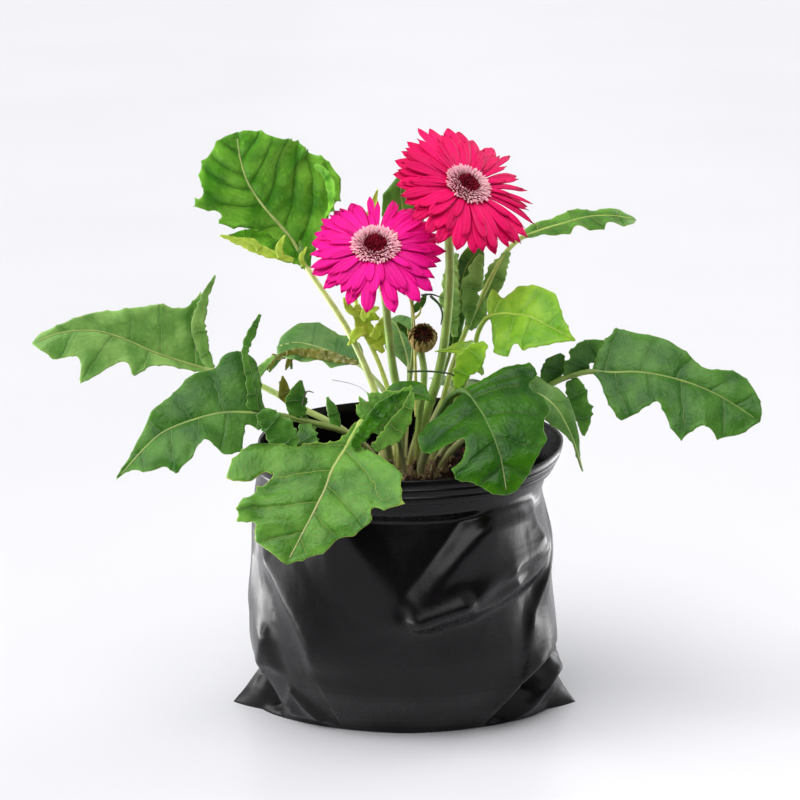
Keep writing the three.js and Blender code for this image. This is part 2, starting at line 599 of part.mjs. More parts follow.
function bagOutline(z, degrees) {
  const list = BAG.levels;
  const at = Math.max(1, list.findIndex((level) => level.z >= z));
  const [a, b] = z >= list.at(-1).z ? [list.at(-2), list.at(-1)] : [list[at - 1], list[at]];
  const t = Math.min(1, Math.max(0, (z - a.z) / (b.z - a.z)));
  const value = (key) => mix(a[key], b[key], t);
  const [c, s] = [Math.cos(rad(degrees)), Math.sin(rad(degrees))];
  const reachX = c < 0 ? value("left") : value("right");
  const reachY = s < 0 ? value("front") : value("back");
  const square = value("square");
  let r = ((Math.abs(c) / reachX) ** square + (Math.abs(s) / reachY) ** square) ** (-1 / square);
  for (const ear of BAG.ears) {
    const away = Math.abs(((degrees - ear.at + 540) % 360) - 180);
    const near = Math.max(0, 1 - away / ear.spread / (1 + z / ear.top));
    r += ear.reach * near * Math.max(0, 1 - z / ear.top) ** 1.3;
  }
  return r;
}

function foldLift(z, degrees) {
  let lift = 0;
  for (const fold of BAG.folds) {
    let nearest = Infinity;
    for (let i = 1; i < fold.path.length; i++) {
      const [p, q] = [fold.path[i - 1], fold.path[i]];
      const flat = ([d, h]) => [(((((d - degrees + 540) % 360) + 360) % 360) - 180) * 1.7, h - z];
      const [px, pz] = flat(p);
      const [qx, qz] = flat(q);
      const [dx, dz] = [qx - px, qz - pz];
      const t = Math.min(1, Math.max(0, -(px * dx + pz * dz) / (dx * dx + dz * dz)));
      nearest = Math.min(nearest, Math.hypot(px + dx * t, pz + dz * t));
    }
    lift += fold.lift * Math.exp(-((nearest / fold.width) ** 2));
  }
  const fade = Math.min(1, z / 6) * Math.min(1, Math.max(0, (168 - z) / 10));
  return lift * fade;
}

const bagRing = (z, inset, around = BAG.around) => Array.from({ length: around }, (_, i) => {
  const degrees = (i / around) * 360;
  const r = bagOutline(z, degrees) + foldLift(z, degrees) - inset;
  return V(r * Math.cos(rad(degrees)), r * Math.sin(rad(degrees)), z);
});

const WALL = [0, 12, 34, 58, 82, 106, 130, 154]; // heights of the rings of the wall, outside and inside

function bagSolid() {
  const { low, tiers, fall, step } = BAG.cuff;
  const wall = [...WALL, low - 0.4].map((z) => bagRing(z, 0));
  const cuff = [];
  tiers.forEach((proud, i) => {
    const z = low + i * fall;
    cuff.push(bagRing(z, -proud), bagRing(z + fall - step, -proud - 0.2));
  });
  const lip = [bagRing(BAG.height, 0.2), bagRing(BAG.height, BAG.film)];
  const inside = [...WALL.slice(1), low].reverse().map((z) => bagRing(z, BAG.film));
  inside.push(bagRing(WALL[1], BAG.film).map((p) => p.setZ(BAG.floor)));
  return solid(loft([...wall, ...cuff, ...lip, ...inside]));
}

// ---- mix and crown ------------------------------------------------------------------------------

const soilHeight = (x, y) =>
  SOIL.edge + SOIL.rise * Math.max(0, 1 - Math.hypot(x - CROWN.x, y - CROWN.y) / 95) +
  0.9 * Math.sin(x * 0.21 + 1) * Math.cos(y * 0.17);

function soilSolid(stalks) {
  const inset = BAG.film + SOIL.slack;
  const rings = [12, 34, 82, 130].map((z) => bagRing(z, SOIL.deep));
  rings[0].forEach((p) => p.setZ(BAG.floor + 0.4));
  rings.push(bagRing(WALL.at(-1), inset));
  const edge = rings.at(-1);
  for (const share of [0.98, 0.66]) {
    rings.push(edge.map((p) => V(p.x * share, p.y * share, soilHeight(p.x * share, p.y * share))));
  }
  const next = dice(7);
  const body = solid(loft(rings));
  const crumbs = Array.from({ length: SOIL.crumbs }, () => {
    const [a, d] = [next() * 2 * Math.PI, 34 + 50 * Math.sqrt(next())];
    const [x, y] = [CROWN.x + d * Math.cos(a), d * Math.sin(a)];
    const crumb = new THREE.OctahedronGeometry(SOIL.crumb * (0.7 + 0.7 * next()), 0);
    crumb.scale(1, 0.8 + 0.5 * next(), 0.6).rotateZ(next() * 3).rotateX(next() - 0.5);
    crumb.translate(x, y, soilHeight(x, y) + 0.3);
    crumb.deleteAttribute("normal").deleteAttribute("uv");
    return solid(crumb);
  });
  return fuse([body, ...crumbs]);
}

function crownRing(z, radius) {
  return Array.from({ length: CROWN.around }, (_, i) => {
    const a = (i / CROWN.around) * 2 * Math.PI;
    const r = radius * (1 + 0.05 * Math.sin(3 * a + 1) + 0.04 * Math.sin(7 * a));
    return V(CROWN.x + r * Math.cos(a), CROWN.y + r * Math.sin(a), z);
  });
}

const crownBody = (grow) => solid(loft([
  ...CROWN.stock.map(([z, radius]) => crownRing(z - grow, radius + grow)),
  crownRing(CROWN.bottom - grow, CROWN.radius + grow),
  crownRing(CROWN.shoulder, CROWN.radius + grow),
  crownRing(CROWN.top + (grow ? 6 : 0), CROWN.radius * (grow ? 1 : 0.86) + grow),
]));

function stubSolids() {
  const next = dice(3);
  return STUBS.at.map((degrees) => {
    const [c, s] = [Math.cos(rad(degrees)), Math.sin(rad(degrees))];
    const r = STUBS.ring;
    const long = STUBS.length * (0.7 + 0.6 * next());
    const spine = new Spine([
      [CROWN.x + r * c, CROWN.y + r * s, CROWN.top - 7],
      [CROWN.x + (r + long * 0.2) * c, CROWN.y + (r + long * 0.2) * s, CROWN.top + long * 0.4],
      [CROWN.x + (r + long * 0.55) * c, CROWN.y + (r + long * 0.55) * s, CROWN.top + long * 0.75],
    ]);
    return solid(stalk(spine, [[0, STUBS.radius], [0.8, STUBS.radius * 0.8], [1, STUBS.radius * 0.5]], 4, 3));
  });
}

// ---- heads --------------------------------------------------------------------------------------

function headPlacement(head) {
  const z = V(...head.axis).normalize();
  const x = V(1, 0, 0).addScaledVector(z, -z.x).normalize();
  return new THREE.Matrix4().makeBasis(x, z.clone().cross(x), z).setPosition(V(...head.centre));
}

const turned = (profile, sides, shape = () => 1) =>
  loft(profile.map(([z, r], level) => Array.from({ length: sides }, (_, i) => {
    const a = (i / sides) * 2 * Math.PI;
    return V(Math.cos(a), Math.sin(a), 0).multiplyScalar(r * shape(level, i)).setZ(z);
  })));

// One strap-shaped ray floret: rings across it from its root in the core to its notched tip.
function rayGeometry(a, reach, rise, droop, width, twist) {
  const [c, s] = [Math.cos(a), Math.sin(a)];
  const out = V(c, s, 0);
  const side = V(-s, c, 0);
  const { root, thick } = HEAD.ray;
  const stations = [[0, 0.36], [0.3, 0.72], [0.75, 1], [1, 0.6]];
  const rings = stations.map(([t, w]) => {
    const r = mix(root, reach, t);
    const z = rise + 3.2 * Math.sin(Math.min(1, t * 1.6) * Math.PI * 0.5) - droop * t * t;
    const p = out.clone().multiplyScalar(r).setZ(z);
    const lean = side.clone().setZ(twist * t).multiplyScalar(width * w);
    const h = V(0, 0, thick / 2);
    const [left, right] = [p.clone().sub(lean), p.clone().add(lean)];
    return [left.clone().sub(h), right.clone().sub(h), right.add(h), left.add(h)];
  });
  return loft(rings);
}

function raysSolid(head) {
  const next = dice(head.seed);
  const { radius, low, high } = HEAD.core;
  const parts = [solid(turned([[low, radius - 1], [low + 1, radius], [high, radius]], 24))];
  for (const whorl of WHORLS) {
    for (let i = 0; i < whorl.count; i++) {
      const a = ((i + whorl.turn + 0.3 * (next() - 0.5)) / whorl.count) * 2 * Math.PI;
      const reach = head.reach * whorl.scale * (0.95 + 0.08 * next());
      const droop = head.droop * (0.92 + 0.16 * next()) - whorl.tip;
      const width = HEAD.ray.width * (0.9 + 0.2 * next());
      parts.push(solid(rayGeometry(a, reach, whorl.rise, droop, width, 0.4 * (next() - 0.5))));
    }
  }
  return largest(fuse(parts));
}

const floretCone = (x, y, low, high, radius, lean) => {
  const cone = new THREE.CylinderGeometry(radius * 0.45, radius, high - low, 4, 1).rotateX(Math.PI / 2);
  cone.deleteAttribute("normal").deleteAttribute("uv");
  cone.translate(0, 0, (high + low) / 2);
  const a = Math.atan2(y, x);
  const place = cone.attributes.position;
  for (let i = 0; i < place.count; i++) {
    const up = (place.getZ(i) - low) / (high - low);
    place.setX(i, place.getX(i) + x + lean * up * Math.cos(a));
    place.setY(i, place.getY(i) + y + lean * up * Math.sin(a));
  }
  return solid(cone);
};

function ringSolid(head) {
  const { inner, outer, low, high, florets } = HEAD.ring;
  const next = dice(head.seed + 1);
  const tube = solid(turned([[low, outer - 1], [high - 1.4, outer], [high, outer - 1.6]], 28));
  const hole = solid(turned([[low - 1, inner], [high + 1, inner]], 20));
  const parts = [tube.subtract(hole)];
  for (let i = 0; i < florets; i++) {
    const outerRow = i % 2 === 0;
    const a = ((i + 0.3 * next()) / florets) * 2 * Math.PI;
    const r = outerRow ? outer - 1.5 : inner + 2.6;
    const [top, lean] = [high + 1.6 + next(), outerRow ? 1.5 : 0.2];
    parts.push(floretCone(r * Math.cos(a), r * Math.sin(a), low + 1.5, top, 1.25, lean));
  }
  return largest(fuse(parts));
}

function eyeSolid(head) {
  const { radius, low, high, florets } = HEAD.eye;
  const next = dice(head.seed + 2);
  const parts = [solid(turned([[low, radius - 0.4], [high - 1, radius - 0.2], [high, radius - 2.4]], 16))];
  for (let i = 0; i < florets; i++) {
    const a = i * 2.4;
    const r = (radius - 1.9) * Math.sqrt((i + 0.5) / florets);
    parts.push(floretCone(r * Math.cos(a), r * Math.sin(a), low + 1.5, high + 0.8 + 0.9 * next(), 0.95, 0));
  }
  return largest(fuse(parts));
}

// The green cup under a head with its overlapping bracts, and a socket for the end of the scape.
function involucreSolid(head, scape) {
  const { involucre, bracts } = HEAD;
  const cup = solid(turned(involucre, bracts, (level, i) => (level > 1 && i % 2 ? 0.94 : 1)));
  const placed = cup.transform(headPlacement(head).elements);
  return largest(placed.subtract(scape));
}

// The room for the end of a scape, from one height on the axis of the head to another.
const socket = (head, low, high, radius) => solid(turned([[low, radius + 1], [high + GAP, radius + 1]], 8))
  .transform(headPlacement(head).elements);

// A scape comes straight up the axis of its head through its last points, given as heights on that axis.
function scapeSpine(head, heights) {
  const axis = V(...head.axis).normalize();
  const last = heights.map((h) => V(...head.centre).addScaledVector(axis, h).toArray());
  return new Spine([...rooted(head.root), ...head.scape, ...last]);
}

// ---- the closing head ---------------------------------------------------------------------------

function budBracts(spec, scape) {
  const { radius, mouth, bracts } = spec;
  const profile = [
    [-radius * 1.05, 2.4], [-radius * 0.8, radius * 0.72], [-radius * 0.25, radius],
    [radius * 0.35, radius * 0.92],
    [radius * 0.62, mouth + 1.4], [radius * 0.5, mouth + GAP], [-radius * 0.2, mouth + GAP],
  ];
  const cup = solid(turned(profile, bracts, (level, i) => (level > 0 && level < 5 && i % 2 ? 0.93 : 1)));
  return largest(cup.transform(headPlacement(spec).elements).subtract(scape));
}

function budFlorets(spec) {
  const { radius, mouth, florets } = spec;
  const low = -radius * 0.2 + GAP;
  const next = dice(5);
  const disc = [[low, mouth - 0.2], [radius * 0.35, mouth - 0.1], [radius * 0.5, mouth - 1.6]];
  const parts = [solid(turned(disc, 12))];
  for (let i = 0; i < florets; i++) {
    const a = i * 2.4;
    const r = (mouth - 1.3) * Math.sqrt((i + 0.5) / florets);
    parts.push(floretCone(r * Math.cos(a), r * Math.sin(a), low + 1, radius * 0.58 + next(), 0.8, 0));
  }
  return largest(fuse(parts)).transform(headPlacement(spec).elements);
}

// ---- assembly -----------------------------------------------------------------------------------

const FINISH = {
  film: { color: 0x121112, roughness: 0.36 },
  mix: { color: 0x2b1a11, roughness: 0.95 },
  crown: { color: 0x8a7450, roughness: 0.85 },
  leaf: { color: 0x4f8a32, roughness: 0.5 },
  young: { color: 0x86b043, roughness: 0.5 },
  scape: { color: 0x7c9a4a, roughness: 0.6 },
  ray: { color: 0xe0176f, roughness: 0.6 },
  ring: { color: 0xe99bb1, roughness: 0.7 },
  eye: { color: 0x4a0716, roughness: 0.7 },
  bract: { color: 0x77933e, roughness: 0.7 },
};
const YOUNG = ["leaf_bright_right", "leaf_yellow_middle", "leaf_young_centre", "leaf_upper_right"];

const plant = new THREE.Group();
const add = (name, made, finish) => {
  const material = new THREE.MeshStandardMaterial({ metalness: 0, ...FINISH[finish] });
  const mesh = new THREE.Mesh(geometryOf(made), material);
  mesh.name = name;
  plant.add(mesh);
};

const stalks = []; // every stalk's own hole in the crown
const rootHole = ([x, y], radius) => {
  const r = (radius + HOLE.slack) / Math.cos(Math.PI / HOLE.sides);
  const hole = new THREE.CylinderGeometry(r, r, 40, HOLE.sides, 1).rotateX(Math.PI / 2);
  hole.translate(x, y, ROOT - GAP + 20).deleteAttribute("normal").deleteAttribute("uv");
  stalks.push(solid(hole));
};

for (const [name, spec] of Object.entries(LEAVES)) {
  const spine = leafSpine(spec);
  add(name, leafSolid(spec, spine), YOUNG.includes(name) ? "young" : "leaf");
  rootHole(spec.root, spec.stalk * 1.2);
}
for (const [name, head] of Object.entries(HEADS)) {
  const spine = scapeSpine(head, [-33, -24, -15]);
  const radii = [[0, head.stalk[0]], [1, head.stalk[1]]];
  const placement = headPlacement(head).elements;
  add(`scape_${name}`, solid(stalk(spine, radii, 8, 12)), "scape");
  add(`bracts_${name}`, involucreSolid(head, socket(head, -24, -15, head.stalk[1])), "bract");
  add(`rays_${name}`, raysSolid(head).transform(placement), "ray");
  add(`ring_${name}`, ringSolid(head).transform(placement), "ring");
  add(`eye_${name}`, eyeSolid(head).transform(placement), "eye");
  rootHole(head.root, head.stalk[0]);
}
{
  const spine = scapeSpine(BUD, [-2.2, -1.4, -0.6].map((h) => h * BUD.radius));
  add("scape_bud", solid(stalk(spine, [[0, BUD.stalk[0]], [1, BUD.stalk[1]]], 8, 8)), "scape");
  add("bracts_bud", budBracts(BUD, socket(BUD, -BUD.radius * 1.5, -BUD.radius * 0.6, BUD.stalk[1])), "bract");
  add("florets_bud", budFlorets(BUD), "eye");
  rootHole(BUD.root, BUD.stalk[0]);
}

const crown = largest(fuse([crownBody(0), ...stubSolids()]).subtract(fuse(stalks)));
add("crown", crown, "crown");
add("potting_mix", largest(soilSolid().subtract(crownBody(0.8))), "mix");
add("grow_bag", bagSolid(), "film");

export default plant;
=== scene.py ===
"""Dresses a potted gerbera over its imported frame: leaves, flower heads, potting mix and film grow bag."""
import math
import random

import bmesh
import bpy
import numpy as np
from mathutils import Matrix, Vector, noise
from mathutils.geometry import delaunay_2d_cdt


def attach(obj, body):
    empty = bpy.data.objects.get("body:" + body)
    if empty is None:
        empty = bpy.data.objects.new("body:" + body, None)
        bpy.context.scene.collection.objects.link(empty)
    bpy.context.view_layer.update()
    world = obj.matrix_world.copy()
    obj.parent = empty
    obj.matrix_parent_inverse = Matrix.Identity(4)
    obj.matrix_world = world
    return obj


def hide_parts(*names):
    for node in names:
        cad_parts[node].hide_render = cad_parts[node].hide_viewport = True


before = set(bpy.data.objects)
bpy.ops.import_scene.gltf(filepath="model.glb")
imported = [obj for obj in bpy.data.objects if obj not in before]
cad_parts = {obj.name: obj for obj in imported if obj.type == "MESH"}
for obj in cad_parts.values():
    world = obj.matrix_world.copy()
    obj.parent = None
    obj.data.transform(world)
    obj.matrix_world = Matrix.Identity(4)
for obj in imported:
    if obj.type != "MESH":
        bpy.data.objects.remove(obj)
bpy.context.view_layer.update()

bl_info = {
    "name": "Potted gerbera",
    "version": (1, 0, 0),
    "blender": (4, 5, 0),
    "location": "View3D > Sidebar > Gerbera",
    "description": "Builds a gerbera in flower in a film grow bag",
    "category": "Add Mesh",
}

MM = 0.001  # the plant is described in millimetres


# ---- curves and small tools ----


def unit(v):
    """Vectors of length one along the last axis."""
    v = np.asarray(v, float)
    return v / np.maximum(np.linalg.norm(v, axis=-1, keepdims=True), 1e-9)


def mix(a, b, t):
    """The value t of the way from a to b."""
    return a + (b - a) * t


def smooth(low, high, x):
    """0 below low, 1 above high, and a smooth rise between."""
    t = np.clip((np.asarray(x, float) - low) / (high - low), 0, 1)
    return t * t * (3 - 2 * t)


def curve_points(points, steps):
    """Points along a centripetal Catmull-Rom curve, `steps` to each stretch, and the last point."""
    p = np.array(points, float)
    q = np.vstack([2 * p[0] - p[1], p, 2 * p[-1] - p[-2]])
    t = (np.arange(steps) / steps)[:, None]
    runs = []
    for p0, p1, p2, p3 in zip(q, q[1:], q[2:], q[3:]):
        d0, d1, d2 = (max(np.linalg.norm(b - a), 1e-6) ** 0.5 for a, b in ((p0, p1), (p1, p2), (p2, p3)))
        m1 = d1 * ((p1 - p0) / d0 - (p2 - p0) / (d0 + d1) + (p2 - p1) / d1)
        m2 = d1 * ((p2 - p1) / d1 - (p3 - p1) / (d1 + d2) + (p3 - p2) / d2)
        runs.append(p1 + t * m1 + t**2 * (3 * (p2 - p1) - 2 * m1 - m2) + t**3 * (2 * (p1 - p2) + m1 + m2))
    return np.vstack(runs + [p[-1:]])


class Spine:
    """A smooth curve measured by length from the place of one of its points."""

    STEPS = 40

    def __init__(self, points, zero=0):
        self.points = curve_points(points, self.STEPS)
        far = np.linalg.norm(np.diff(self.points, axis=0), axis=1)
        self.far = np.concatenate([[0], np.cumsum(far)])
        self.before = self.far[zero * self.STEPS]
        self.length = self.far[-1] - self.before

    def at(self, s):
        """The points at those lengths along it."""
        x = np.asarray(s, float) + self.before
        return np.stack([np.interp(x, self.far, self.points[:, k]) for k in range(3)], -1)

    def along(self, s):
        """The way it runs at those lengths."""
        s = np.asarray(s, float)
        return unit(self.at(s + 1.5) - self.at(s - 1.5))


def around(angles, start):
    """How far degrees round lie from a start, from -180 to 180."""
    return (angles - start + 540) % 360 - 180


def waves(points, size, seed=0):
    """Soft noise from -1 to 1 at each point, with features of about that size."""
    return np.array([noise.noise(Vector(p) / size + Vector((seed * 7.3, seed * 3.1, 0))) for p in points])


class Dice(random.Random):
    """Random draws from a seed."""

    def off(self, size):
        """A number from -size to size."""
        return self.uniform(-size, size)


def quads(n, k):
    """The faces between n rings of k points."""
    rounds = [(i * k + j, i * k + (j + 1) % k) for i in range(n - 1) for j in range(k)]
    return [(a, b, b + k, a + k) for a, b in rounds]


class Build:
    """Gathers the vertices, faces and vertex values of one piece, in millimetres."""

    def __init__(self):
        self.points, self.faces, self.slots, self.values = [], [], [], []
        self.count = 0

    def add(self, points, faces, slot=0, **values):
        """Adds points, the faces between them and their named values."""
        points = np.asarray(points, float)
        self.points.append(points)
        self.faces += [[i + self.count for i in f] for f in faces]
        self.slots += [slot] * len(faces)
        self.values.append((len(points), values))
        self.count += len(points)

    def loft(self, rings, slot=0, **values):
        """A skin through rings of the same number of points, its ends filled from their middles."""
        rings = np.asarray(rings, float)
        n, k = rings.shape[:2]
        faces = quads(n, k)
        last = (n - 1) * k
        faces += [((j + 1) % k, j, n * k) for j in range(k)]
        faces += [(last + j, last + (j + 1) % k, n * k + 1) for j in range(k)]
        points = np.vstack([rings.reshape(-1, 3), rings[0].mean(0), rings[-1].mean(0)])
        ends = {name: np.append(v, [v[0], v[-1]]) for name, v in values.items() if np.ndim(v)}
        self.add(points, faces, slot, **{**values, **ends})

    def mesh(self, name, materials):
        """All of it as one mesh, in metres."""
        mesh = bpy.data.meshes.new(name)
        mesh.from_pydata((np.vstack(self.points) * MM).tolist(), [], self.faces)
        for key in sorted({key for _, values in self.values for key in values}):
            runs = [np.broadcast_to(values.get(key, 0.0), (count,)) for count, values in self.values]
            values = np.concatenate(runs).astype(float)
            mesh.attributes.new(key, "FLOAT", "POINT").data.foreach_set("value", values)
        for material in materials:
            mesh.materials.append(material)
        mesh.polygons.foreach_set("material_index", self.slots)
        mesh.polygons.foreach_set("use_smooth", [True] * len(self.faces))
        mesh.update()
        return mesh

    def piece(self, name, materials, replaces=(), slot=None):
        """Puts all of it in the scene as one piece."""
        return settle(self.mesh(name, materials), name, replaces)


def linked(name, data):
    """A new object of the scene that holds that data."""
    made = bpy.data.objects.new(name, data)
    bpy.context.scene.collection.objects.link(made)
    return made


def settle(mesh, name, replaces=()):
    """Puts a finished mesh in the scene as a piece of the plant."""
    mesh.name = name
    piece = linked(name, mesh)
    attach(piece, "root")
    if replaces:
        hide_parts(*replaces)
    return piece


# ---- shader and geometry node trees written as expressions ----


class Value:
    """An output socket of a node tree, with Python's operators for its maths."""

    def __init__(self, tree, socket):
        self.tree, self.socket = tree, socket

    def math(self, operation, *others):
        return self.tree.node("ShaderNodeMath", {"operation": operation}, self, *others)

    def __add__(self, other):
        return self.math("ADD", other)

    def __sub__(self, other):
        return self.math("SUBTRACT", other)

    def __mul__(self, other):
        return self.math("MULTIPLY", other)

    def __truediv__(self, other):
        return self.math("DIVIDE", other)

    def __pow__(self, other):
        return self.math("POWER", other)

    def reflected(self, operation, other):
        """The same with the other one first."""
        return self.tree.node("ShaderNodeMath", {"operation": operation}, other, self)

    def __rsub__(self, other):
        return self.reflected("SUBTRACT", other)

    def __rtruediv__(self, other):
        return self.reflected("DIVIDE", other)

    def __rpow__(self, other):
        return self.reflected("POWER", other)

    __radd__ = __add__
    __rmul__ = __mul__

    def sin(self):
        return self.math("SINE")

    def cos(self):
        return self.math("COSINE")

    def abs(self):
        return self.math("ABSOLUTE")

    def fraction(self):
        return self.math("FRACT")

    def most(self, other):
        """The larger of the two."""
        return self.math("MAXIMUM", other)

    def step(self, low, high):
        """0 at low, 1 at high, with a smooth rise between; low may be above high."""
        settings = {"interpolation_type": "SMOOTHSTEP"}
        return self.tree.node("ShaderNodeMapRange", settings, self, low, high, 0.0, 1.0)


class Tree:
    """A node tree that is built by calls; inputs are given in order or by name."""

    def __init__(self, nodes):
        self.nodes = nodes

    def feed(self, socket, value):
        """Links a value to a socket, or sets a plain one there."""
        if isinstance(value, Value):
            self.nodes.links.new(value.socket, socket)
        else:
            socket.default_value = value

    def node(self, kind, settings=None, *inputs, out=0, **named):
        """A new node's output, or a tuple of them where out is one."""
        made = self.nodes.nodes.new(kind)
        for key, value in (settings or {}).items():
            setattr(made, key, value)
        for key, value in (*enumerate(inputs), *named.items()):
            self.feed(made.inputs[key], value)
        if isinstance(out, tuple):
            return tuple(Value(self, made.outputs[key]) for key in out)
        return Value(self, made.outputs[out])

    def parts(self, vector):
        return self.node("ShaderNodeSeparateXYZ", {}, vector, out=(0, 1, 2))

    def vector(self, x, y, z=0.0):
        return self.node("ShaderNodeCombineXYZ", {}, x, y, z)


class Finish(Tree):
    """A material: one Principled shader and the nodes that feed it."""

    def __init__(self, name):
        self.material = bpy.data.materials.new(name)
        self.material.use_nodes = True
        super().__init__(self.material.node_tree)
        self.shader = self.nodes.nodes["Principled BSDF"]
        self.place = self.node("ShaderNodeTexCoord", out="Object")

    def attribute(self, name, out="Fac"):
        return self.node("ShaderNodeAttribute", {"attribute_name": name}, out=out)

    def strap(self):
        """How far along and across its strap a point is, and the shade of that strap."""
        return self.parts(self.attribute("strap", "Vector"))

    def set(self, colour, roughness, normal=None, specular=0.5):
        """Gives the shader its inputs, and returns the material."""
        inputs = {"Base Color": colour, "Roughness": roughness, "Specular IOR Level": specular}
        if normal:
            inputs["Normal"] = normal
        for name, value in inputs.items():
            self.feed(self.shader.inputs[name], value)
        return self.material

    def noise(self, size, detail, vector=None, roughness=0.5):
        """Noise from 0 to 1, with features of about that size."""
        named = {"Vector": vector or self.place, "Scale": 1 / size, "Detail": detail, "Roughness": roughness}
        return self.node("ShaderNodeTexNoise", {}, **named)

    def edges(self, size, vector):
        """How far a point is from the edge of its cell."""
        settings = {"feature": "DISTANCE_TO_EDGE"}
        return self.node("ShaderNodeTexVoronoi", settings, Vector=vector, Scale=1 / size)

    def blend(self, share, a, b):
        """Colour a where share is 0 and b where it is 1."""
        mixer = self.nodes.nodes.new("ShaderNodeMix")
        mixer.data_type = "RGBA"
        self.feed(mixer.inputs[0], share)
        for socket, colour in ((mixer.inputs[6], a), (mixer.inputs[7], b)):
            self.feed(socket, colour if isinstance(colour, Value) else (*colour, 1.0))
        return Value(self, mixer.outputs[2])

    def mapping(self, scale):
        """Places stretched along one axis or another."""
        return self.node("ShaderNodeMapping", {}, Vector=self.place, Scale=scale)

    def bump(self, height, distance, strength):
        """Normals of a surface with that height, from 0 to 1, over a distance in metres."""
        return self.node("ShaderNodeBump", {}, Strength=strength, Distance=distance, Height=height)


def srgb(*screen):
    """A colour as a screen shows it, 0 to 255, made linear."""
    shares = (value / 255 for value in screen)
    return tuple(c / 12.92 if c <= 0.04045 else ((c + 0.055) / 1.055) ** 2.4 for c in shares)


def tint(colour, share, more=0.0):
    """A colour made lighter or darker."""
    return tuple(min(1, v * share + more) for v in colour)


# ---- leaves ----

ROOT = 151  # every stalk ends at this height inside the crown
STRAIGHT = 16  # and runs straight up for this far

# spine runs from the crown to the tip, and its point number `blade` is where the blade starts. root is where
# the stalk stands in the crown, and way holds any points between that and the spine. face is where the upper
# side looks at the start and at the end of the blade. left and right are the margins of the leaf laid flat,
# each point [along the midrib, out from it, lifted off the flat]. slant is how far a side vein runs ahead for
# each unit out, at the start and at the tip. fold is the rise of each half in degrees, and curl its bend in
# degrees over CURL_SPAN. stalk is the stalk's radius, quilt how far the blade domes between its veins, veins
# their spacing, teeth how far the margin's teeth stand out, and sweep how much the veins bow. A lobe is a
# small blade of its own on the stalk: its line, its half-widths along it and where it faces.
CURL_SPAN = 45
USUAL = {
    "way": [], "blade": 1, "slant": [0.2, 0.5], "fold": 4, "curl": -6, "veins": 23, "teeth": 0.5,
    "sweep": 0.1, "lobes": [],
}
TIP_BEND = -48  # a margin that turns by more degrees than this comes to a point
TOOTH_GAP = 13  # along the margin from one tooth to the next
TOOTH_FADE = 14  # teeth grow over this far from the ends of a margin
VEIN_LEAST = 3.5  # side veins stand at least this far apart
ROW = 0.866  # from one row of a mesh of even triangles to the next, for sides of 1
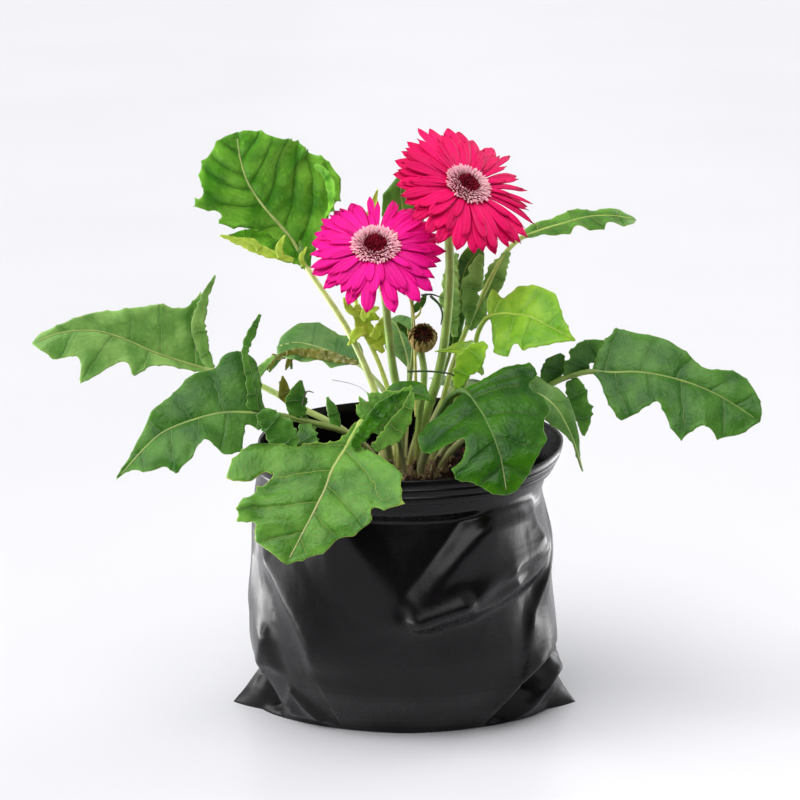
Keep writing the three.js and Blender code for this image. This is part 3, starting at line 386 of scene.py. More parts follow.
LEAVES = {
    "leaf_upright_left": {
        "spine": [[-39, 22, 256], [-66, 26, 298], [-76, 22, 318], [-84, 18, 329], [-94, 12, 342],
                  [-104, 6, 359], [-109, 2, 376], [-111, 0, 394]],
        "root": [-16, 14], "way": [[-18, 15, 205]], "face": [[0.1, -1, 0.1], [0.1, -1, 0.3]], "fold": 5,
        "curl": 6, "stalk": 2.7, "look": "glossy", "quilt": 1.7, "veins": 17, "teeth": 1.2, "sweep": 0.7,
        "left": [[8, 5], [18, 12], [25, 9, 2], [39, 10], [56, 20, 3], [68, 32, -1], [70, 27, -1], [77, 32],
                 [86, 41, 3], [88, 28], [94, 30, -2], [102, 19], [109, 10]],
        "right": [[4, 5], [17, 16, 4], [27, 29, 5], [37, 47, 1], [48, 54, -4], [61, 47, -6], [70, 47, -2],
                  [80, 43, -6], [93, 37, -2], [102, 27], [112, 12]],
        "lobes": [
            ([[-67, 24, 301], [-82, 19, 311], [-100, 15, 321], [-118, 12, 323]], [2, 6, 6, 1],
             [0.1, -1, 0.3]),
            ([[-68, 26, 299], [-70, 20, 310], [-71, 14, 319]], [3, 3, 1], [0.8, -1, 0.1]),
        ],
    },
    "leaf_far_left": {
        "spine": [[-40, 3, 190], [-71, 9, 206], [-100, 13, 221], [-130, 12, 231], [-165, 0, 245],
                  [-189, -8, 258], [-206, -14, 264], [-228, -20, 264], [-246, -26, 258]],
        "root": [-19, 4], "blade": 3, "face": [[0, -0.85, 0.5], [0, -0.85, 0.5]], "slant": [0.1, 0.6],
        "stalk": 2.5, "look": "soft", "quilt": 0.55,
        "left": [[13, 4], [40, 9, 2], [52, 22, 2], [60, 15], [74, 27, -2], [88, 39, -4], [99, 18],
                 [109, 18, -2], [120, 17, -3], [127, 7]],
        "right": [[4, 8], [10, 20, 2], [16, 34, 3], [19, 50, 4], [27, 37, 2], [34, 34], [46, 34, 2],
                  [60, 27, -2], [74, 18], [94, 10, 1], [112, 5], [124, 4]],
        "lobes": [
            ([[-131, 12, 232], [-136, 13, 245], [-139, 15, 262], [-136, 18, 277], [-128, 22, 294]],
             [3, 4.5, 5, 3, 0.8], [0.4, -1, 0.1]),
            ([[-103, 13, 222], [-97, 14, 232], [-88, 16, 240]], [2, 3, 1], [0, -1, 0.3]),
        ],
    },
    "leaf_low_left": {
        "spine": [[-36, -24, 195], [-65, -38, 208], [-89, -48, 216], [-101, -52, 218], [-120, -57, 219],
                  [-140, -62, 215], [-158, -66, 208], [-169, -69, 199], [-188, -72, 178]],
        "root": [-17, -6], "blade": 2, "face": [[0, -0.75, 0.65], [-0.2, -0.8, 0.55]], "slant": [0.1, 0.5],
        "stalk": 2.6, "look": "mid", "quilt": 0.6,
        "left": [[3, 6], [8, 12, -2], [16, 9], [21, 28, -3], [35, 30, -2], [50, 18, 2], [62, 26, -3],
                 [77, 30, -3], [88, 19], [98, 14], [106, 4]],
        "right": [[3, 5], [6, 14, 2], [8, 31, 4], [15, 42, 5], [28, 40, 2], [33, 33], [44, 30, 3], [60, 21],
                  [71, 16, 3], [84, 9], [98, 4]],
        "lobes": [
            ([[-100, -51, 218], [-102, -48, 238], [-105, -46, 256], [-101, -44, 268], [-95, -42, 281]],
             [4, 3, 2, 3, 1], [0, -1, 0.2]),
            ([[-84, -46, 214], [-80, -50, 204], [-75, -48, 191]], [3, 7, 1.5], [0, -1, 0.2]),
            ([[-67, -39, 208], [-74, -34, 220], [-83, -32, 234]], [3, 4, 1], [0.2, -1, 0.2]),
            ([[-62, -37, 206], [-66, -45, 198], [-70, -50, 190]], [3, 5, 1.5], [0, -1, 0.2]),
            ([[-46, -29, 200], [-48, -28, 211], [-52, -27, 222]], [3, 4, 1], [-0.3, -1, 0.1]),
        ],
    },
    "leaf_front_left": {
        "spine": [[-18, -42, 211], [-30, -62, 213], [-40, -84, 201], [-47, -95, 192], [-52, -106, 181],
                  [-57, -114, 172], [-65, -122, 158], [-76, -130, 138]],
        "root": [-10, -13], "face": [[0, -0.6, 0.8], [0, -0.95, 0.3]], "slant": [0.5, 0.5], "fold": 2,
        "curl": -5, "stalk": 3, "look": "pale", "quilt": 0.9, "teeth": 0.9,
        "left": [[10, 5], [21, 10], [25, 22, 5], [28, 32, 8], [34, 41, 9], [47, 47, 9], [54, 55, 8],
                 [58, 42, 6], [64, 33, 3], [74, 35, 2], [81, 29], [87, 21, -2], [96, 18], [111, 4, -2]],
        "right": [[20, 6], [38, 28, 4], [48, 50, 5], [62, 57, 2], [75, 61], [72, 52], [67, 43], [61, 34, 2],
                  [69, 40], [80, 45, -3], [92, 46, -4], [104, 41, -5], [100, 30], [110, 25, -3], [113, 12]],
        "lobes": [
            ([[-28, -60, 213], [-16, -66, 222], [-4, -72, 232], [4, -72, 240]], [8, 15, 12, 6, 1.5],
             [-0.6, -0.7, -0.35]),
        ],
    },
    "leaf_front_right": {
        "spine": [[20, -30, 204], [29, -45, 226], [38, -60, 234], [47, -76, 227], [54, -92, 217],
                  [60, -105, 202], [64, -116, 180]],
        "root": [9, -16], "blade": 2, "face": [[0, -0.75, 0.65], [0.1, -0.8, 0.6]], "slant": [0.05, 0.5],
        "fold": 2, "curl": -10, "stalk": 3, "look": "deep", "quilt": 0.9,
        "left": [[2, 14], [4, 30, 2], [8, 46, 3], [14, 46], [18, 37, -2], [26, 42, -4], [36, 43, -6],
                 [42, 37, -2], [48, 34, -4], [57, 32, -3], [64, 25], [76, 15, -2], [84, 6]],
        "right": [[2, 10], [6, 30, -1], [14, 42, -4], [26, 46, -6], [40, 42, -5], [42, 30, -1], [41, 19],
                  [52, 22, -2], [60, 33, -4], [68, 32, -4], [76, 20], [84, 8]],
    },
    "leaf_far_right": {
        "spine": [[50, -4, 197], [88, -8, 221], [106, -10, 231], [124, -12, 236], [137, -14, 236],
                  [155, -18, 237], [181, -24, 233], [206, -30, 224], [233, -38, 208]],
        "root": [22, -1], "blade": 3, "face": [[0, -0.75, 0.65], [0.1, -0.8, 0.55]], "slant": [0.1, 0.5],
        "stalk": 2.5, "look": "mid", "quilt": 0.55,
        "left": [[4, 16], [12, 33, 2], [24, 30], [34, 29, -2], [48, 25], [60, 19], [72, 14, 1],
                 [88, 21, -2], [100, 19, -3], [114, 8]],
        "right": [[4, 6], [12, 22, -2], [20, 34, -4], [32, 31, -1], [48, 21, 1], [62, 36, -3], [72, 41, -4],
                  [86, 25], [100, 27, -4], [112, 15, -2]],
        "lobes": [
            ([[94, -9, 225], [97, -8, 235], [101, -9, 243], [104, -10, 247]], [4, 7, 7, 2], [0.3, -1, 0.2]),
            ([[108, -10, 231], [114, -11, 242], [122, -13, 252], [131, -15, 257]], [4, 8, 9, 6, 1],
             [0.4, -1, 0.2]),
            ([[110, -11, 230], [114, -17, 219], [118, -20, 206], [118, -21, 194]], [4, 7, 8, 5, 1],
             [-0.2, -1, 0]),
        ],
    },
    "leaf_bright_right": {
        "spine": [[33, 8, 208], [45, 3, 240], [48, -2, 260], [54, -9, 272], [63, -18, 277], [71, -26, 278],
                  [80, -32, 278], [93, -40, 273], [110, -48, 265]],
        "root": [22, 9], "blade": 3, "face": [[0, -0.8, 0.6], [0.1, -0.85, 0.5]], "slant": [0, 0.5],
        "curl": -5, "stalk": 2.3, "look": "young", "quilt": 0.9,
        "left": [[1, 6], [4, 15], [7, 17, 2], [12, 11], [21, 21, 2], [36, 22, -1], [44, 21, -2], [52, 14],
                 [67, 3]],
        "right": [[3, 8], [9, 18, -1], [20, 28, -3], [31, 30, -3], [33, 23], [46, 25, -2], [57, 16],
                  [66, 6]],
    },
    "leaf_upper_right": {
        "spine": [[27, 23, 215], [40, 34, 252], [52, 42, 276], [62, 50, 295], [69, 57, 304], [80, 66, 312],
                  [93, 74, 316], [108, 82, 319], [127, 92, 322], [145, 100, 321], [161, 108, 317]],
        "root": [18, 18], "blade": 5, "face": [[0, -0.5, 0.85], [0, -0.4, 0.9]], "fold": 3, "curl": 4,
        "stalk": 2.3, "look": "pale", "quilt": 0.9,
        "left": [[4, 5], [15, 7], [27, 6], [45, 8, 1], [62, 6], [80, 8, 1], [90, 5]],
        "right": [[4, 5], [14, 5], [22, 9, -1], [33, 9, -2], [41, 6], [47, 13, -2], [60, 13, -3], [66, 9],
                  [78, 11, -2], [89, 5]],
    },
    "leaf_back_left": {
        "spine": [[-12, 38, 204], [-25, 56, 218], [-34, 72, 222], [-46, 80, 226], [-61, 88, 230],
                  [-76, 94, 232], [-91, 100, 228]],
        "root": [-10, 21], "blade": 2, "face": [[0, -0.6, 0.8], [-0.1, -0.6, 0.8]], "stalk": 2.2,
        "look": "grey", "quilt": 0.5,
        "left": [[6, 8], [14, 12, -2], [24, 11], [38, 16, -2], [54, 15, 1], [64, 10, -1]],
        "right": [[2, 8], [10, 15, 2], [26, 16], [42, 18, 2], [56, 14], [64, 8]],
        "lobes": [
            ([[-84, 97, 229], [-90, 94, 219], [-96, 92, 211]], [3, 2, 0.8], [0, -1, 0.2]),
            ([[-79, 95, 231], [-81, 93, 221], [-80, 92, 213]], [3, 2, 0.8], [0, -1, 0.2]),
        ],
    },
    "leaf_pale_right": {
        "spine": [[42, -26, 208], [65, -38, 226], [86, -50, 230], [98, -56, 222], [108, -60, 204],
                  [116, -60, 180]],
        "root": [18, -10], "face": [[0.2, -0.7, 0.7], [0.6, -0.8, 0.3]], "fold": 6, "curl": -8,
        "stalk": 2.3, "look": "grey", "quilt": 0.7,
        "left": [[4, 9], [14, 14, 1], [28, 10], [40, 12, -1], [54, 8], [66, 4]],
        "right": [[4, 10], [14, 16, -2], [28, 13], [42, 13, -2], [54, 8], [66, 3]],
    },
    "leaf_young_centre": {
        "spine": [[24, 1, 205], [35, 0, 224], [43, -5, 238], [48, -14, 248], [43, -24, 253], [33, -31, 256],
                  [19, -38, 256]],
        "root": [13, 3], "blade": 2, "face": [[0.7, -0.5, 0.5], [-0.1, -0.5, 0.85]], "slant": [0.2, 0.4],
        "fold": 5, "curl": -8, "stalk": 1.9, "look": "young", "quilt": 0.6,
        "left": [[6, 9], [14, 16, -3], [26, 11], [38, 6], [46, 2]],
        "right": [[6, 7], [16, 9, -1], [28, 8], [38, 6], [46, 2]],
    },
    "leaf_slender_middle": {
        "spine": [[2, 24, 215], [5, 32, 241], [4, 37, 274], [1, 41, 301], [-1, 43, 325], [-3, 44, 342],
                  [-4, 43, 358]],
        "root": [-3, 14], "blade": 3, "face": [[0, -1, 0.1], [0, -1, 0.1]], "slant": [0.4, 0.6], "fold": 6,
        "curl": 8, "stalk": 1.7, "look": "mid", "quilt": 0.6,
        "left": [[6, 4], [20, 8], [30, 14, 1], [44, 12], [52, 6]],
        "right": [[6, 4], [20, 9], [30, 16, 1], [44, 14], [52, 6]],
        "lobes": [
            ([[5, 33, 249], [-1, 32, 254], [-6, 31, 260]], [2, 2.5, 0.8], [0, -1, 0.2]),
            ([[4, 36, 266], [10, 35, 272], [14, 34, 279]], [2, 2.5, 0.8], [0, -1, 0.2]),
        ],
    },
    "leaf_winged_right": {
        "spine": [[18, 24, 205], [30, 34, 238], [36, 38, 270], [40, 43, 293], [50, 46, 309]],
        "root": [8, 13], "face": [[0.2, -1, 0.1], [0.1, -1, 0.1]], "slant": [0.4, 0.5], "fold": 5,
        "curl": 6, "stalk": 1.8, "look": "mid", "quilt": 0.5,
        "left": [[8, 5], [28, 4], [40, 6], [54, 5], [66, 8, 1], [74, 5]],
        "right": [[8, 4], [28, 6], [40, 4], [54, 6], [64, 11, 1], [74, 5]],
    },
    "leaf_yellow_middle": {
        "spine": [[-7, 9, 196], [-16, 16, 229], [-28, 24, 256], [-34, 28, 277], [-32, 31, 303],
                  [-26, 32, 326], [-19, 31, 351]],
        "root": [-9, 5], "blade": 3, "face": [[0.1, -1, 0.1], [0.1, -1, 0.1]], "slant": [0.4, 0.6],
        "fold": 6, "curl": 6, "stalk": 2, "look": "yellow", "quilt": 0.4,
        "left": [[4, 5], [16, 4], [26, 7], [40, 6], [60, 3], [72, 1.5]],
        "right": [[4, 6], [16, 4], [28, 7], [42, 6], [60, 4], [72, 1.5]],
        "lobes": [
            ([[-30, 25, 262], [-24, 23, 266], [-18, 22, 264]], [3, 4, 1], [0, -1, 0.2]),
            ([[-23, 21, 243], [-17, 20, 248], [-15, 20, 256]], [2, 3, 1], [0, -1, 0.2]),
        ],
    },
    "leaf_behind": {
        "spine": [[1, 42, 196], [2, 62, 222], [-2, 78, 236], [-6, 92, 244], [-11, 104, 247]],
        "root": [-1, 25], "face": [[0, -0.8, 0.6], [0, -0.6, 0.8]], "fold": 5, "curl": -5, "stalk": 2,
        "look": "grey", "quilt": 0.6,
        "left": [[6, 6], [18, 13], [30, 11], [42, 13], [50, 7]],
        "right": [[6, 6], [18, 12], [30, 10], [42, 12], [50, 6]],
    },
    "leaf_low_back": {
        "spine": [[20, 48, 190], [32, 76, 204], [44, 104, 203], [56, 128, 190], [66, 146, 168]],
        "root": [9, 24], "face": [[0, -0.1, 1], [0.3, 0.9, 0.5]], "curl": -8, "stalk": 2.4, "look": "mid",
        "quilt": 1.0,
        "left": [[6, 6], [22, 26, -3], [34, 20], [50, 33, -4], [66, 24], [80, 24, -3], [96, 8]],
        "right": [[6, 6], [22, 24, -3], [34, 19], [50, 31, -4], [66, 22], [80, 22, -3], [96, 8]],
    },
    "leaf_folded_front": {
        "spine": [[-6, -26, 196], [-16, -33, 212], [-14, -40, 224], [-4, -47, 230], [8, -53, 231],
                  [19, -58, 226]],
        "root": [-1, -17], "blade": 2, "face": [[-0.6, -0.6, 0.6], [0, -0.5, 0.9]], "slant": [0.2, 0.4],
        "fold": 6, "curl": -10, "stalk": 2, "look": "deep", "quilt": 0.5,
        "left": [[6, 7], [16, 9, -1], [26, 8], [34, 3]],
        "right": [[6, 6], [16, 8, -1], [26, 7], [34, 3]],
    },
}

YOUNG = ("bright_right", "upper_right", "young_centre", "yellow_middle")

# Small lobes that curl about the stalks, by their look, each given as a leaf's lobes are.
LEAFLETS = {
    "deep": [
        ([[2, -74, 237], [-10, -80, 232], [-23, -84, 218], [-34, -86, 203]], [1.5, 4.5, 5, 3],
         [-0.2, -1, 0.2]),
    ],
    "glossy": [
        ([[-60, 4, 372], [-53, 1, 366], [-49, -3, 356], [-50, -2, 345], [-56, 5, 332]], [1.5, 3, 3.6, 3, 1],
         [-0.5, -0.5, 0.7]),
    ],
    "brown": [
        ([[-33, 60, 225], [-55, 74, 227], [-76, 82, 227], [-94, 88, 221]], [2, 4.5, 4, 1.5], [0, -1, -0.4]),
        ([[-81, 82, 229], [-81, 84, 222], [-84, 84, 214]], [2, 2.2, 0.6], [0, -1, 0.2]),
        ([[-91, 86, 225], [-93, 88, 220], [-97, 88, 213]], [2, 2, 0.6], [0, -1, 0.2]),
        ([[-74, -38, 217], [-80, -36, 227], [-81, -34, 238]], [3, 4.5, 0.8], [0.4, -1, 0]),
    ],
    "yellow": [
        ([[-75, 14, 306], [-92, 8, 312], [-107, 5, 319], [-123, 2, 325]], [1.5, 3, 3.2, 0.8],
         [0.1, -1, 0.1]),
        ([[-83, 8, 309], [-84, 5, 317], [-80, 3, 325]], [2.4, 2.2, 0.6], [0.1, -1, 0.1]),
        ([[-97, 6, 315], [-101, 4, 320], [-108, 3, 323]], [2.4, 2, 0.6], [0.1, -1, 0.1]),
        ([[-68, 14, 302], [-70, 10, 308], [-66, 8, 316]], [1.6, 1.8, 0.6], [0.1, -1, 0.1]),
        ([[-15, 18, 242], [-23, 20, 251], [-30, 22, 262], [-33, 22, 274]], [1.5, 4.5, 5, 2],
         [0.2, -1, 0.3]),
        ([[-22, 19, 251], [-17, 17, 260], [-13, 17, 269]], [3, 3.6, 0.8], [0.2, -1, 0.2]),
        ([[-27, 19, 257], [-33, 17, 255], [-39, 17, 247]], [3, 3.4, 0.8], [0, -1, 0.4]),
        ([[-30, 21, 264], [-25, 19, 270], [-18, 17, 273]], [3, 3.4, 0.8], [0, -1, 0.2]),
        ([[-31, 21, 268], [-37, 20, 271], [-42, 20, 279]], [2.4, 2.8, 0.8], [0, -1, 0.2]),
    ],
    "soft": [
        ([[52, 40, 265], [57, 45, 279], [63, 49, 293], [70, 55, 304]], [2, 6, 6.5, 2], [0.2, -1, 0.2]),
        ([[43, 34, 254], [49, 37, 264], [54, 41, 275]], [2, 6, 1.5], [-0.3, -1, 0.1]),
        ([[33, 20, 252], [30, 22, 272], [30, 22, 291], [34, 22, 309]], [2, 7, 6, 1.5], [-0.4, -1, 0.1]),
        ([[42, 28, 258], [43, 30, 276], [46, 32, 292], [51, 34, 306]], [2, 6, 6.5, 2], [0.3, -1, 0.1]),
    ],
    "mid": [
        ([[-95, -58, 220], [-88, -60, 213], [-80, -62, 205], [-72, -64, 194]], [4, 9, 9, 1.5],
         [-0.2, -0.9, 0.4]),
        ([[-70, -42, 212], [-72, -40, 223], [-69, -38, 236]], [5, 7, 1], [0.3, -1, 0.1]),
        ([[-66, -44, 208], [-64, -52, 201], [-58, -56, 191]], [4, 6.5, 1.5], [0.1, -1, 0.3]),
    ],
    "young": [
        ([[33, -34, 230], [38, -36, 243], [44, -38, 252], [52, -38, 261]], [2, 7, 8, 2.5], [-0.3, -1, 0.2]),
    ],
    "pale": [
        ([[4, -76, 237], [0, -84, 226], [-8, -88, 214], [-21, -90, 203]], [1.5, 5, 6.5, 3], [0.3, -1, 0.1]),
    ],
}

# Dry threads and tendrils: the line of each, its radius and its colour.
THREADS = [
    [[[1, -30, 240], [16, -34, 241], [30, -34, 239], [39, -30, 233]], 0.75, (44, 74, 34)],
    [[[10, -10, 287], [17, -12, 288], [24, -14, 286]], 0.7, (40, 66, 34)],
    [[[16, -12, 287], [22, -12, 281], [24, -14, 275], [23, -14, 268]], 1.0, (58, 96, 44)],
    [[[-49, -20, 232], [-37, -22, 230], [-29, -24, 227], [-23, -24, 220]], 0.22, (120, 116, 108)],
    [[[-67, -56, 224], [-66, -58, 230], [-64, -60, 234], [-60, -60, 233]], 0.7, (54, 50, 30)],
    [[[7, 8, 200], [6, 6, 246], [5, 4, 270], [2, 2, 284]], 1.3, (206, 206, 120)],
    [[[5, 4, 268], [9, 2, 272], [10, 1, 277]], 0.9, (176, 190, 90)],
    [[[6, 6, 252], [2, 4, 257], [1, 3, 262]], 0.8, (176, 190, 90)],
]

# The finishes of the leaves: the colours of the blade, its veins, underside and stalk, then how much its
# veins and its midrib show, how dark the painted shade in the creases along the veins is and how deep its
# quilting is.
LOOK_PARTS = ("deep", "light", "vein", "under", "stalk", "show", "midrib", "crease", "quilted")
LOOKS = {
    "glossy": ((56, 132, 16), (138, 208, 66), (150, 196, 86), (120, 160, 62), (204, 222, 136), 0.3, 0.4,
               0.4, 1.0),
    "mid": ((34, 84, 18), (84, 134, 48), (158, 186, 112), (116, 148, 84), (126, 150, 72), 0.3, 0.6, 0.2,
            0.6),
    "soft": ((80, 134, 50), (150, 194, 102), (190, 212, 140), (126, 160, 92), (156, 178, 96), 0.35, 0.8,
             0.1, 0.6),
    "pale": ((44, 98, 22), (106, 160, 60), (190, 202, 98), (104, 148, 62), (166, 188, 92), 0.45, 1.0, 0.2,
             0.7),
    "deep": ((10, 62, 0), (56, 112, 0), (128, 172, 70), (96, 136, 60), (70, 108, 28), 0.22, 0.45, 0.2, 0.8),
    "young": ((84, 146, 14), (148, 194, 50), (196, 218, 118), (140, 180, 72), (150, 184, 60), 0.35, 0.7,
              0.1, 0.6),
    "grey": ((50, 98, 34), (102, 142, 66), (160, 180, 120), (112, 124, 48), (140, 160, 86), 0.25, 0.5, 0.0,
             0.5),
    "yellow": ((166, 208, 44), (206, 232, 96), (222, 230, 130), (180, 206, 90), (198, 220, 100), 0.3, 0.3,
               0.0, 0.5),
    "brown": ((72, 78, 16), (124, 122, 42), (150, 150, 80), (84, 90, 30), (120, 120, 60), 0.3, 0.3, 0.0,
              0.5),
}


def stalk_root(place):
    """The first points of a stalk, straight up out of the crown."""
    return [[*place, ROOT + up] for up in (0, STRAIGHT / 2, STRAIGHT)]


def look_of(name):
    """The colours of one of the LOOKS, made linear, and its shares."""
    named = zip(LOOK_PARTS, LOOKS[name])
    return {part: srgb(*value) if isinstance(value, tuple) else value for part, value in named}


class LeafShape:
    """Where the points of a leaf laid flat come to in the air."""

    def __init__(self, spec):
        self.spec = {**USUAL, **spec}
        lead = stalk_root(spec["root"]) + self.spec["way"]
        self.spine = Spine(lead + spec["spine"], len(lead) + self.spec["blade"])
        self.sides = {side: self.margin(spec[side]) for side in ("left", "right")}

    def slant(self, s):
        """How far ahead a side vein runs from there, for each unit out."""
        return mix(*self.spec["slant"], np.clip(s / self.spine.length, 0, 1))

    def margin(self, points):
        """The margin as rows of foot, along, out and lift, its feet each a little past the one before."""
        start = [0, self.spec["stalk"] * 0.85, 0]
        rows = [start] + [[*p, 0][:3] for p in points] + [[self.spine.length, 0.5, 0]]
        feet, last = [], -0.5
        for along, out, _ in rows:
            s = along
            for _ in range(12):
                s = along - self.slant(s) * out
            last = min(self.spine.length, max(last + 0.5, s))
            feet.append(last)
        return np.column_stack([feet, rows])

    def axes(self, s):
        """The ways ahead, up and to the right of the blade at its midrib."""
        ahead = self.spine.along(s)
        share = np.clip(s / self.spine.length, 0, 1)[..., None]
        a, b = (unit(f) for f in self.spec["face"])
        look = unit(mix(a, b, share))
        up = unit(look - ahead * (look * ahead).sum(-1, keepdims=True))
        return ahead, up, np.cross(ahead, up)

    def foot(self, x, out):
        """Where on the midrib the side vein through a flat point starts."""
        k0, k1 = self.spec["slant"]
        s = (x - k0 * out) / (1 + (k1 - k0) * out / self.spine.length)
        return np.clip(s, 0, self.spine.length)

    def lift(self, s, out, side):
        """How far the margin's own lifts raise a point of one side."""
        rows = self.sides["left" if side < 0 else "right"]
        width = np.maximum(np.interp(s, rows[:, 0], rows[:, 2]), 0.5)
        return np.interp(s, rows[:, 0], rows[:, 3]) * np.clip(out / width, 0, 1) ** 2

    def place(self, x, y, proud):
        """Points and upward normals for flat points x along and y out, standing proud of the blade."""
        out, side = np.abs(y), np.where(y < 0, -1.0, 1.0)[:, None]
        s = self.foot(x, out)
        ahead, up, right = self.axes(s)
        lift = np.where(y < 0, self.lift(s, out, -1), self.lift(s, out, 1))
        rise = math.radians(self.spec["fold"])
        bend = math.radians(self.spec["curl"]) / CURL_SPAN or 1e-6
        turned = rise + bend * out
        flat = (np.sin(turned) - np.sin(rise)) / bend
        high = (np.cos(rise) - np.cos(turned)) / bend + lift
        normal = up * np.cos(turned)[:, None] - side * right * np.sin(turned)[:, None]
        base = self.spine.at(s) + ahead * (x - s)[:, None] + side * right * flat[:, None] + up * high[:, None]
        return base + normal * np.asarray(proud)[:, None], normal


def pointed(margin):
    """A smooth line through margin points that comes to a point at the lobe tips."""
    points = np.column_stack([margin, np.zeros(len(margin))])
    a, b = np.diff(points[:-1, :2], axis=0), np.diff(points[1:, :2], axis=0)
    bend = np.degrees(np.arctan2(a[:, 0] * b[:, 1] - a[:, 1] * b[:, 0], (a * b).sum(1)))
    cuts = [0, *(np.flatnonzero(bend < TIP_BEND) + 1), len(points) - 1]
    runs = [curve_points(points[i:j + 1], 12)[:, :2] for i, j in zip(cuts, cuts[1:])]
    return np.vstack([run[:-1] for run in runs[:-1]] + runs[-1:])


def ring_of(margin, step, teeth, seed):
    """Points at even steps along a smooth line through margin points, with small natural teeth."""
    line = pointed(margin)
    far = np.concatenate([[0], np.cumsum(np.linalg.norm(np.diff(line, axis=0), axis=1))])
    places = np.linspace(0, far[-1], max(8, int(far[-1] / step)))
    points = np.column_stack([np.interp(places, far, line[:, k]) for k in range(2)])
    ahead = unit(np.gradient(points, axis=0))
    out = np.column_stack([-ahead[:, 1], ahead[:, 0]])
    at = np.column_stack([points, np.full(len(points), seed)])
    beat = (places / TOOTH_GAP + 1.2 * waves(at, 30, seed)) % 1
    cusp = np.abs(beat * 2 - 1) ** 3.4 * (0.5 + 1.1 * np.abs(waves(at, 15, seed + 2)))
    fade = np.minimum(1, np.minimum(places, far[-1] - places) / TOOTH_FADE)
    points += out * (teeth * (2.4 * cusp - 0.5 + 1.5 * waves(at, 13, seed + 1)) * fade)[:, None]
    points[:, 1] = np.maximum(points[:, 1], 0.35)
    return points


def inside(points, ring):
    """Which points lie in a closed ring, and how far each is from its line."""
    a, b = ring, np.roll(ring, -1, axis=0)
    p = points[:, None]
    crossing = (a[:, 1] > p[..., 1]) != (b[:, 1] > p[..., 1])
    slope = (b[:, 0] - a[:, 0]) / np.where(b[:, 1] == a[:, 1], 1e-9, b[:, 1] - a[:, 1])
    hits = crossing & (p[..., 0] < a[:, 0] + (p[..., 1] - a[:, 1]) * slope)
    edge = b - a
    t = np.clip(((p - a) * edge).sum(-1) / np.maximum((edge**2).sum(-1), 1e-9), 0, 1)
    away = np.linalg.norm(p - a - t[..., None] * edge, axis=-1).min(1)
    return hits.sum(1) % 2 == 1, away


def flat_mesh(ring, step, length):
    """Triangles over a flat leaf, with a run of edges along its midrib."""
    low, high = ring.min(0), ring.max(0)
    rows = enumerate(np.arange(low[1], high[1], step * ROW))
    grid = [(x, y) for i, y in rows for x in np.arange(low[0] + (i % 2) * step / 2, high[0], step)]
    grid = np.array([g for g in grid if abs(g[1]) > step * 0.5])
    hit, away = inside(grid, ring)
    grid = grid[hit & (away > step * 0.55)]
    rib = np.array([(x, 0.0) for x in np.arange(step, length - step, step)])
    points = np.vstack([ring, rib, grid])
    n, m = len(ring), len(rib)
    edges = [(i, (i + 1) % n) for i in range(n)] + [(n + i, n + i + 1) for i in range(m - 1)]
    found, _, faces, *_ = delaunay_2d_cdt([Vector(p) for p in points], edges, [], 1, 1e-5)
    found = np.array([tuple(p) for p in found])
    away = inside(found, ring)[1]
    return found, [tuple(f) for f in faces], away


def vein_feet(shape, side):
    """Feet of the side veins of one half: one to each lobe tip, and others between them."""
    rows = shape.sides[side]
    out = rows[:, 2]
    tips = [rows[i, 0] for i in range(1, len(rows) - 1) if out[i] >= max(out[i - 1], out[i + 1])]
    feet = [0.0]
    for foot in tips + [shape.spine.length]:
        gap = foot - feet[-1]
        if gap >= VEIN_LEAST:
            parts = max(1, round(gap / shape.spec["veins"]))
            feet += [feet[-1] + gap * (i + 1) / parts for i in range(parts)]
    return np.array(feet)


